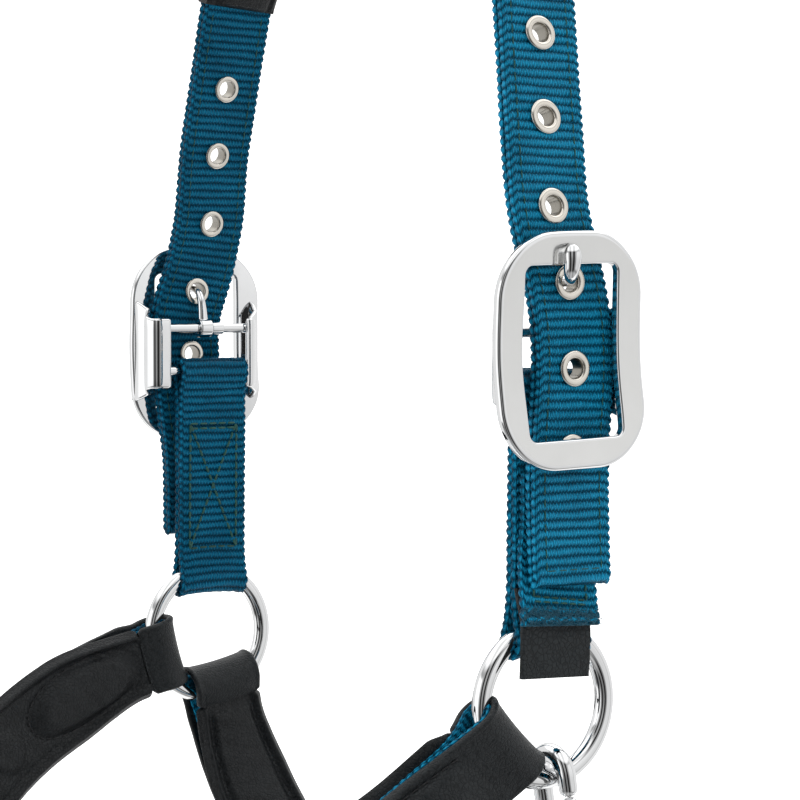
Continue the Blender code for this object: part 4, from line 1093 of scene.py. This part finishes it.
# ================================================================== padded straps
def padded_strap(pre, course, body, sag, rep_core, rep_cover, rep_lining, mirror=False, eyes=(3.85, 3.85), wide=26.0, lwide=31.0,
                 fold=11.6, tongue=51.0, web=M_WEB, res=5, backmid=3.9, square=False, seat=4.5, core_hw=None, lip=1.0, oval=None, lift_=1.3, grow=9.0):
    """Leather strap: webbing core, outer leather folded round both rings and turned back, padded lining inside."""
    L = course.length
    up_ = half_path(L, eyes[0] + 0.6, eyes[1] + 0.6, 0.72, 19.0, 19.0)
    core = Line(course, closed_path(up_), PITCH / res, True, sag, sagk=0.2)
    webbing(pre + "_core_webbing", core, core_hw or fold - 0.25, 0.62, web, body, rep_core, nface=12, nedge=5, mirror=mirror, grooves=False, A=0.2, B=0.4)
    ra, rb = eyes[0] + 2.3, eyes[1] + 2.3
    U_ = half_path(L, ra, rb, 2.45, 17.5, 17.5)
    D_ = half_path(L, ra, rb, backmid, 17.0, 17.0)
    lowA = [(s, -n) for s, n in D_ if s <= tongue]
    lowB = [(s, -n) for s, n in D_ if s >= L - tongue]
    cov = Line(course, list(reversed(lowA)) + U_[1:] + list(reversed(lowB[:-1])), 1.0, False, sag, sagk=0.2)
    inner = cov.h < 0
    e = np.minimum(cov.s, L - cov.s)
    hw = fold + (wide / 2 - fold) * sstep(e, 4, 12)
    hw = np.where(inner, fold + (10.7 - fold) * sstep(e, 6, 16), hw)
    dist_end = np.minimum(cov.a - cov.a[0], cov.a[-1] - cov.a)
    if square:
        cap = 0.9 + 0.1 * np.sqrt(np.clip(1 - (1 - np.clip(dist_end / 1.5, 0, 1)) ** 2, 0.0, 1))
        hw = np.where(inner, fold, hw)
    else:
        cap = np.sqrt(np.clip(1 - (1 - np.clip(dist_end / 14.0, 0, 1)) ** 2, 0.0009, 1))
    hw = hw * cap
    thin = 0.25 + 0.75 * np.sqrt(np.clip(1 - (1 - np.clip(dist_end / 2.2, 0, 1)) ** 2, 0, 1))
    inn = inner.astype(float)
    for _ in range(8):
        inn[1:-1] = (inn[:-2] + 2 * inn[1:-1] + inn[2:]) / 4
    ee = sstep(e, 8, 18)
    foldk = 1 - sstep(e, 8, 15)

    def top(F, H, a):
        ed = (1 - np.abs(F)) * H
        k = ee[:, None]
        body_ = 0.05 + 0.75 * np.exp(-((ed - 1.9) / 1.15) ** 2) + 1.15 * sstep(ed, 3.3, 6.2) * (1 - 0.35 * F * F)
        outer = 1.1 + (body_ - 0.5 * np.exp(-((ed - 3.6) / 0.5) ** 2)) * k
        puff = np.power(np.clip(1 - np.abs(F) ** 2.0, 0, 1), 0.9) * sstep(e, 11, 30)[:, None] * (1 - square)
        tong = (1.0 - 0.55 * sstep(e, 9, 16) * (1 - square))[:, None] + 2.9 * puff * np.clip(cap, 0, 1)[:, None] ** 0.8 - 0.4 * np.exp(-((ed - 1.7) / 0.5) ** 2) * sstep(e, 14, 18)[:, None]
        tong = tong * thin[:, None]
        w = inn[:, None]
        # creases where the leather turns round the ring, soft unevenness elsewhere
        cr = 0.24 * np.sin(a * 2.1 + 1.7 * np.sin(F * 3.1 + 0.6)) * np.exp(-((e - 11.0) / 4.0) ** 2)[:, None] * (1 - np.abs(F) ** 4)
        wob = 0.09 * np.sin(a * 0.33 + F * 2.0) * np.sin(a * 0.11 + 1.3) + 0.05 * np.sin(a * 0.8 + F * 5.0)
        edge_roll = 0.28 * np.exp(-((ed - 0.9) / 0.8) ** 2) * foldk[:, None]
        return outer * (1 - w) + tong * w + cr + wob * k + edge_roll

    def bot(F, H, a):
        ed = (1 - np.abs(F)) * H
        return -1.05 - 0.75 * lip * (1 - sstep(ed, 0.0, 1.3)) * (ee * (1 - inn))[:, None]

    panel(pre + "_cover_leather", cov, hw, top, bot, M_LEA, body, rep_cover, nf=57, mirror=mirror, edge=1.15)
    oi = np.where((cov.h > 0) & (e > 12))[0]
    a0, a1 = cov.a[oi[0]], cov.a[oi[-1]]
    hh = wide / 2 - 3.6
    runs = [(a0, -hh, a1, -hh, 1.2), (a0, hh, a1, hh, 1.2)]
    ti = tongue - 14.0
    if not square:
        for b0, sg in ((0.0, 1), (cov.a[-1], -1)):
            for u in (-1, 1):
                runs.append((b0 + sg * 13.0, u * 9.0, b0 + sg * ti, u * 9.0, 0.35))
                for q0, q1 in (((1.9, 0.9), (3.2, 4.2)), ((3.2, 4.2), (6.6, 7.2)), ((6.6, 7.2), (13.0, 9.0))):
                    runs.append((b0 + sg * q0[0], u * q0[1], b0 + sg * q1[0], u * q1[1], 0.30))
    stitches(pre + "_cover_stitching", cov, runs, M_BLK, body, length=2.5, gap=0.8, r=0.2, mirror=mirror)
    if rep_lining is not None:
        s0, s1 = seat, L - seat
        lin = Line(course, [(x, 0.0) for x in np.linspace(s0, s1, 170)], 0.9)
        el = np.minimum(lin.s - s0, s1 - lin.s)
        hwl = fold * 1.02 + (lwide / 2 - fold * 1.02) * sstep(el, 0.5, grow)
        near_eye = np.minimum(lin.s, L - lin.s)
        hwl = hwl * np.sqrt(np.clip(1 - (1 - np.clip(el / 2.5, 0, 1)) ** 2, 0.02, 1)) ** 0.3

        def low(F, H, a):
            ed = (1 - np.abs(F)) * H
            k = sstep(el, 0, 8)[:, None]
            x = np.minimum(a, lin.a[-1] - a)
            inside = x - (tongue - s0 + 2.0)
            rad = 11.2
            hwc = rad * np.sqrt(np.clip(1 - (1 - np.clip(inside / 14.0, 0, 1)) ** 2, 0, 1))
            if oval:
                mid_, rad_ = (oval[0] + oval[1]) / 2, (oval[1] - oval[0]) / 2
                q = np.sqrt(np.abs((x - mid_) / rad_) ** 2.6 + np.abs(F * H / 9.6) ** 2.2)
                ov = 1 - sstep(q, 0.62, 1.0)
                seam = np.exp(-((q - 1.03) / 0.05) ** 2)
                inside = x - (oval[1] + 5.0)
                hwc = rad * np.sqrt(np.clip(1 - (1 - np.clip(inside / 14.0, 0, 1)) ** 2, 0, 1))
                pad_ = np.where(inside > 0, sstep(hwc - np.abs(F * H), 0, 4.2), 0) * 0.55 + 0.95 * ov - 0.30 * seam
            elif square:
                pad_ = 0.6 * sstep(10.6 - np.abs(F * H), 0, 3.0) * sstep(x, 3.0, 6.0)
            else:
                pad_ = np.where(inside > 0, sstep(hwc - np.abs(F * H), 0, 4.2), 0)
            centre = 3.4 + 2.6 * pad_ * (1 - 0.35 * (F * H / 10.0) ** 2)
            v = 3.0 + 1.9 * np.exp(-((ed - 2.4) / 1.4) ** 2) + (centre - 3.0) * sstep(ed, 4.2, 6.6)
            v = v + 0.10 * np.sin(a * 0.37 + F * 2.6) * np.sin(a * 0.13) + 0.05 * np.sin(a * 0.9 + F * 6.0)
            if square:
                kq = sstep(el, 0, 2.6)[:, None]
                return -(2.0 + (v - 2.0) * (0.55 + 0.45 * kq) + lift_ * (1 - sstep(near_eye, 4, 17))[:, None])
            return -(2.0 + (v - 2.0) * (0.25 + 0.75 * k))

        def high(F, H, a):
            ed = (1 - np.abs(F)) * H
            if square:
                return -(1.4 + lift_ * 1.15 * (1 - sstep(near_eye, 6, 14)))[:, None] + 0 * ed
            return -1.4 + 0.7 * lip * (1 - sstep(ed - (lwide - wide) / 2, 0.0, 1.0)) * sstep(el, 4, 12)[:, None]
        lo_ = panel(pre + "_lining_pad", lin, hwl, high, low, M_PAD, body, rep_lining, nf=71, mirror=mirror, edge=2.0)
        hl = lwide / 2 - 4.4
        runs = [(9, -hl, lin.length - 9, -hl, -3.0), (9, hl, lin.length - 9, hl, -3.0)]
        if oval:
            mid_, rad_ = (oval[0] + oval[1]) / 2, (oval[1] - oval[0]) / 2
            for sg, b0 in ((1, 0.0), (-1, lin.length)):
                pts_ = [(b0 + sg * (mid_ + 1.03 * rad_ * abs(math.cos(t)) ** 0.77 * math.copysign(1, math.cos(t))),
                         9.9 * abs(math.sin(t)) ** 0.91 * math.copysign(1, math.sin(t))) for t in np.linspace(-2.2, 2.2, 23)]
                for q0, q1 in zip(pts_, pts_[1:]):
                    runs.append((q0[0], q0[1], q1[0], q1[1], -3.2))
        stitches(pre + "_lining_stitching", lin, runs, M_BLK, body,
                 length=2.5, gap=0.8, r=0.2, mirror=mirror)
    return cov


FOLD_R = RING_R - 3.3
# near cheek strap leans out at its top edge, so its edge and the core show
p0 = (FOLD_R + 0.8) * pol(213.0) + (0, -HALF_W, 0)
p3 = SIDE + FOLD_R * pol(31.0)
near_cheek = Course(bezier(p0, p0 + 48 * pol(224.0), p3 + 44 * pol(31.0), p3),
                    [(-pol(213.0)[2], 0, pol(213.0)[0]), (pol(31.0)[2], 0, -pol(31.0)[0])], (0, -1, 0),
                    twist=lambda s, L: 24.0 * sstep(s, 4, 34) * (1 - sstep(s, L - 60, L - 16)))
padded_strap("near_cheek", near_cheek, "cheek_straps", (RING_R, RING_R), ("near_cheek_core",), ("near_cheek_cover",), ("near_cheek_lining",), fold=12.3,
             wide=24.0, core_hw=12.2, lip=0.0, square=True, tongue=8.5, seat=6.0)
p0 = (FOLD_R + 2.3) * pol(198.0) + (0, -HALF_W, 0)
far_cheek = Course(bezier(p0, p0 + 74 * pol(195.0), p3 + 38 * pol(34.0), p3),
                   [(-pol(198.0)[2], 0, pol(198.0)[0]), (pol(31.0)[2], 0, -pol(31.0)[0])], (0, -1, 0))
# far cheek core in the darker webbing copy: painted shade
padded_strap("far_cheek", far_cheek, "cheek_straps", (RING_R, RING_R), ("far_cheek_core",), ("far_cheek_cover",), ("far_cheek_lining",),
             mirror=True, web=M_WEB_SHADE, fold=11.6, tongue=8.0, square=True, seat=6.4, core_hw=10.4, oval=(3.5, 47.0), grow=34.0, lwide=31.0)

dn = pol(140.0)
top_ = np.array([-141.0, 0, -85.0]) + 97 * dn
p0 = SIDE + FOLD_R * dn
h_ = bezier(p0, p0 + 37 * dn, top_ - (0, 46, 0), top_, 61)
wn = (-dn[2], 0, dn[0])
noseband = Course(np.concatenate([h_, (h_ * (1, -1, 1))[::-1][1:]]), [wn, wn], (0, -1, 0))
padded_strap("noseband", noseband, "noseband", (RING_R, RING_R), ("noseband_core",), ("noseband_cover",), ("noseband_lining",))

ds, df = pol(280.0), pol(292.0)
A_NEAR = np.array([0, -HALF_W, 0])
EYE_S = 79.0
dfv = pol(285.0)
p0 = A_NEAR + EYE_S * ds
p3 = np.array([0, HALF_W, 0]) + FOLD_R * dfv
h1 = bezier(p0, p0 + 26 * ds, PIV - (0, 56, 0), PIV, 61)
h2 = bezier(PIV, PIV + (0, 56, 0), p3 + 66 * pol(280.5), p3, 61)
throat = Course(np.concatenate([h1, h2[1:]]), [(-ds[2], 0, ds[0]), CONN, (-dfv[2], 0, dfv[0])], (0, -1, 0))
padded_strap("throat", throat, "throat", (0.0, RING_R), ("throat_core",), ("throat_cover",), (), eyes=(2.4, 3.85), wide=26.0, lwide=30.0,
             fold=12.3, tongue=7.0, backmid=3.7, square=True, seat=5.2, core_hw=10.6, grow=34.0)


# ================================================================== chin and connector webbing
dc = pol(280.0)
p0 = SIDE + RING_R * dc
p3 = LEAD_C - (0, LEAD_R, 0)
pc = bezier(p0, p0 + 46 * dc, p3 - (0, 36, 0), p3)
for pre, mir in (("near", False), ("far", True)):
    c = Course(pc, [(-dc[2], 0, dc[0]), CONN], (0, -1, 0))
    up_ = half_path(c.length, 3.8 + 1.05, 4.25 + 1.05, 1.1, 16.0, 16.0)
    ln = Line(c, closed_path(up_), PITCH / 6, True, (RING_R, LEAD_R))
    webbing(pre + "_chin_strap_webbing", ln, 12.4, 1.0, M_WEB, "noseband", (pre + "_chin_strap",), nface=20, nedge=5, mirror=mir)
    runs = []
    for sg in (1, -1):
        b0, b1 = face_a(ln, 17, sg), face_a(ln, c.length - 17, sg)
        for u in (-9.3, 9.3):
            runs.append((b0, u, b1, u, 0.92))
        for q in (b0, b1):
            runs.append((q, -9.3, q, 9.3, 0.95))
    stitches(pre + "_chin_stitching", ln, runs, M_GRN, "noseband", mirror=mir, r=0.17)

c = Course(np.linspace(LEAD_PIV, PIV, 60), [YV, YV], (0, 0, 1))
L = c.length
up_ = half_path(L, 3.75 + 1.05, 3.0, 1.1, 16.0, 16.0)
up_ = [q for q in up_ if q[0] < L - 40.0]
a, b, r = 18.8, 8.7, 6.4
tailp = [(L - 39.0, 1.1), (L - a - 15, 1.15), (L - a - 9.5, 2.6), (L - a - 3.5, 6.2), (L - a + 1.4, 8.0), (L - a + 6.5, b), (L - 5, b), (L + 5, b), (L + a - r, b)]
tailp += [(L + a - r + r * math.sin(t), b - r + r * math.cos(t)) for t in np.linspace(0.2, math.pi / 2, 8)] + [(L + a, 0.0)]
ln = Line(c, closed_path(up_ + tailp), PITCH / 6, True, (LEAD_R, 0))
webbing("connector_webbing", ln, 12.4, 1.0, M_WEB, "connector", ("connector_strap",), nface=20, nedge=5)
runs = []
for sg in (1, -1):
    b0, b1 = face_a(ln, 17, sg), face_a(ln, L - 36, sg)
    for u in (-9.3, 9.3):
        runs.append((b0, u, b1, u, 0.92))
    for q in (b0, b1):
        runs.append((q, -9.3, q, 9.3, 0.95))
stitches("connector_stitching", ln, runs, M_GRN, "connector", r=0.17)


# ================================================================== bolt snap
WX = np.array([-ds[2], 0, ds[0]])


def loc(s, y, x=0.0):
    return A_NEAR + s * ds + y * YV + x * WX


pts = [loc(x, 6) for x in np.linspace(50, 20, 24)]
pts += [loc(20 - 6 * math.sin(t), 6 * math.cos(t)) for t in np.linspace(0, math.pi, 30)[1:-1]]
pts += [loc(x, -6) for x in np.linspace(20, 25.2, 8)]
k = np.linspace(0, 1, len(pts))
rod("snap_hook_bow", pts, 2.6, M_CHR, "snap_body", ("snap_hook",), nc=28, upv=WX, ru=1 + 0.08 * np.sin(k * math.pi) - 0.35 * sstep(k, 0.975, 1), rw=1 + 0.08 * np.sin(k * math.pi) - 0.35 * sstep(k, 0.975, 1))
prof = round_profile([(2.35, 34.6), (4.45, 34.6), (4.45, 57.4), (2.35, 57.4)], 0.7)
turn("snap_hook_barrel", prof, A_NEAR - 6 * YV, ds, YV, M_CHR, "snap_body", ("snap_hook",), 48)
prof = round_profile([(0.05, 55.2), (2.3, 55.2), (2.3, 57.0), (0.05, 57.0)], 0.2)
turn("snap_hook_barrel_plug", prof, A_NEAR - 6 * YV, ds, YV, M_CHR, "snap_body", ("snap_hook",), 32)
bm_v = []
for s_, g in ((39.5, 0.7), (41.0, 1.0), (54.5, 1.0), (56.2, 0.7)):
    sec = []
    for t in np.linspace(0, 2 * math.pi, 32, endpoint=False):
        c_, s2 = math.cos(t), math.sin(t)
        sec.append(loc(s_, 1.0 + 5.6 * g * math.copysign(abs(c_) ** 0.35, c_), 2.3 * g * math.copysign(abs(s2) ** 0.5, s2)))
    bm_v.append(sec)
v, q, u_ = grid(np.array(bm_v), np.arange(4) * 1.0, np.zeros((4, 32)), False, True)
add("snap_hook_web", v, q, M_CHR, u_, False, "snap_body", ("snap_hook",))
prof = round_profile([(3.75, 61.0), (3.75, 56.6), (0.05, 56.6), (0.05, 54.6), (5.3, 54.6), (5.3, 64.0), (1.95, 64.0), (1.95, 61.0)], 0.5)
turn("snap_hook_collar", prof, A_NEAR, ds, YV, M_CHR, "snap_body", ("snap_hook",), 48)
prof = [(0.02, 25.8), (0.9, 25.9), (1.5, 26.2), (2.0, 27.0), (2.1, 28.0), (2.1, 42.6), (1.9, 43.0), (0.02, 43.0)]
turn("snap_bolt_pin", prof, A_NEAR - 6 * YV, ds, YV, M_CHR, "snap_bolt", ("snap_bolt",), 40, False)
prof = [(1.15, 1.0), (1.15, 5.0), (2.3, 5.2), (2.6, 5.5), (2.65, 6.3), (2.5, 6.9), (1.8, 7.1), (0.02, 7.1)]
turn("snap_bolt_stud", prof, loc(41.0, -6), -YV, ds, M_CHR, "snap_bolt", ("snap_bolt",), 36, False)
sp = [loc(43.6 + 11.6 * t, -6 + 1.6 * math.cos(10 * math.pi * t), 1.6 * math.sin(10 * math.pi * t)) for t in np.linspace(0, 1, 161)]
spring = rod("snap_spring_wire", sp, 0.32, M_SPR, "snap_body", ("snap_bolt_spring",), nc=8, upv=ds)
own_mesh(spring)
prof = round_profile([(0.02, 58.0), (3.3, 58.0), (3.3, 60.4), (1.65, 60.6), (1.65, 67.5), (0.02, 67.5)], 0.3)
turn("snap_eye_post", prof, A_NEAR, ds, YV, M_CHR, "throat", ("snap_swivel_eye",), 36, True)
o = outline(30.4, 11.0, 4.0, 12)
o2, _, _ = resample(o, 1.0, True, 110)
rod("snap_eye_loop", [loc(73.5 + z, 0, x) for x, z in o2], 2.0, M_CHR, "throat", ("snap_swivel_eye",), closed=True, nc=24, upv=YV)


# ================================================================== floor, light
def floor():
    """A wide pale sweep: flat under the halter, curving up far behind and around it."""
    n, m = 72, 14
    vs, qs = [], []
    for i in range(m):
        r = 0.25 * 1.52 ** i
        z = -0.32 + max(0.0, (r - 18.0)) * 0.5
        for j in range(n):
            a = 2 * math.pi * j / n
            vs.append((r * math.cos(a), r * math.sin(a), z))
    for i in range(m - 1):
        for j in range(n):
            j2 = (j + 1) % n
            qs.append((i * n + j, (i + 1) * n + j, (i + 1) * n + j2, i * n + j2))
    qs.append(tuple(reversed(range(n))))
    me = bpy.data.meshes.new("floor")
    me.from_pydata(vs, [], [q[::-1] for q in qs])
    me.update()
    ob = bpy.data.objects.new("floor", me)
    COLL.objects.link(ob)
    k = Nodes("pale_floor")
    nn = k.noise(k.obj(), 3.0, 3.0)
    k.link(k.ramp(nn, [(0.3, (0.90, 0.90, 0.90)), (0.7, (0.94, 0.94, 0.94))]), k.p.inputs["Base Color"])
    k.set(Roughness=0.95, Specular_IOR_Level=0.0, Emission_Color=(1, 1, 1, 1), Emission_Strength=0.55)
    me.materials.append(k.m)
    ob.visible_glossy = False


floor()


def studio():
    """White room for the eye; for light and reflections a dark front with soft boxes and a bright back."""
    w = bpy.data.worlds.new("studio")
    bpy.context.scene.world = w
    w.use_nodes = True
    t = w.node_tree
    t.nodes.clear()
    out = t.nodes.new("ShaderNodeOutputWorld")

    def mth(op, a, b=0.0, clamp=False):
        n = t.nodes.new("ShaderNodeMath")
        n.operation = op
        n.use_clamp = clamp
        for i, q in enumerate((a, b)):
            if isinstance(q, (int, float)):
                n.inputs[i].default_value = q
            else:
                t.links.new(q, n.inputs[i])
        return n.outputs[0]
    tc = t.nodes.new("ShaderNodeTexCoord").outputs["Generated"]

    def dot(v):
        n = t.nodes.new("ShaderNodeVectorMath")
        n.operation = "DOT_PRODUCT"
        n.inputs[1].default_value = v
        t.links.new(tc, n.inputs[0])
        return n.outputs["Value"]

    def ease(x, a, b):
        n = t.nodes.new("ShaderNodeMapRange")
        n.interpolation_type = "SMOOTHSTEP"
        n.inputs[1].default_value, n.inputs[2].default_value = a, b
        n.inputs[3].default_value, n.inputs[4].default_value = 0.0, 1.0
        t.links.new(x, n.inputs[0])
        return n.outputs[0]
    x, y, z = dot(tuple(right)), dot(tuple(-back)), dot((0, 0, 1))
    back_wall = ease(y, -0.04, 0.12)
    front = mth("ADD", 0.24, mth("MULTIPLY", ease(z, -0.35, 0.35), 0.22))
    card = mth("MULTIPLY", ease(x, 0.06, 0.14), mth("SUBTRACT", 1.0, ease(x, 0.34, 0.42)))   # narrow black cards
    card2 = mth("MULTIPLY", ease(x, -0.46, -0.38), mth("SUBTRACT", 1.0, ease(x, -0.2, -0.12)))
    front = mth("MULTIPLY", front, mth("SUBTRACT", 1.0, mth("MULTIPLY", mth("ADD", card, card2), 0.93)))
    front = mth("MULTIPLY", front, mth("SUBTRACT", 1.0, back_wall))
    val = mth("ADD", front, mth("MULTIPLY", back_wall, 0.95))                   # bright back wall
    val = mth("ADD", val, mth("MULTIPLY", ease(z, 0.52, 0.72), 0.95))            # top box
    side = mth("MULTIPLY", ease(x, 0.50, 0.66), mth("SUBTRACT", 1.0, ease(y, -0.1, 0.05)))
    side = mth("MULTIPLY", side, mth("SUBTRACT", 1.0, ease(z, 0.46, 0.6)))
    side = mth("MULTIPLY", side, ease(z, -0.62, -0.45))
    val = mth("ADD", val, mth("MULTIPLY", side, 0.57))                            # right box
    sl = mth("MULTIPLY", mth("SUBTRACT", 1.0, ease(x, -0.74, -0.52)), mth("SUBTRACT", 1.0, ease(y, -0.04, 0.12)))
    sl = mth("MULTIPLY", sl, mth("SUBTRACT", 1.0, ease(z, 0.4, 0.5)))
    sl = mth("MULTIPLY", sl, ease(z, -0.5, -0.35))
    val = mth("ADD", val, mth("MULTIPLY", sl, 1.05))                              # left box
    val = mth("ADD", val, mth("MULTIPLY", ease(z, -0.55, -0.8), 0.35))           # table
    a = t.nodes.new("ShaderNodeBackground")
    b = t.nodes.new("ShaderNodeBackground")
    t.links.new(val, a.inputs[1])
    a.inputs[0].default_value = (1, 1, 1, 1)
    b.inputs[0].default_value = (1, 1, 1, 1)
    b.inputs[1].default_value = 1.0
    lp = t.nodes.new("ShaderNodeLightPath")
    mix = t.nodes.new("ShaderNodeMixShader")
    t.links.new(lp.outputs["Is Camera Ray"], mix.inputs[0])
    t.links.new(a.outputs[0], mix.inputs[1])
    t.links.new(b.outputs[0], mix.inputs[2])
    t.links.new(mix.outputs[0], out.inputs[0])


studio()


def area(name, loc_, target, size, power, col=(1, 1, 1)):
    d = bpy.data.lights.new(name, "AREA")
    d.shape = "RECTANGLE"
    d.size, d.size_y = size
    d.energy = power
    d.color = col
    ob = bpy.data.objects.new(name, d)
    COLL.objects.link(ob)
    ob.location = loc_
    ob.rotation_mode = "QUATERNION"
    ob.rotation_quaternion = (Vector(target) - Vector(loc_)).to_track_quat("-Z", "Y")
    ob.visible_glossy = False
    return ob


area("key", (0.35, -1.5, 1.35), (0, 0, 0.05), (0.8, 0.8), 20)
area("top", (-0.4, 0.2, 1.7), (0, 0, 0), (1.2, 1.2), 9)
area("fill", (-1.5, -0.6, 0.3), (0, 0, 0.02), (1.0, 1.0), 5)
sc = bpy.context.scene
sc.view_settings.view_transform = "Standard"
sc.view_settings.look = "None"
sc.view_settings.exposure = 0.0
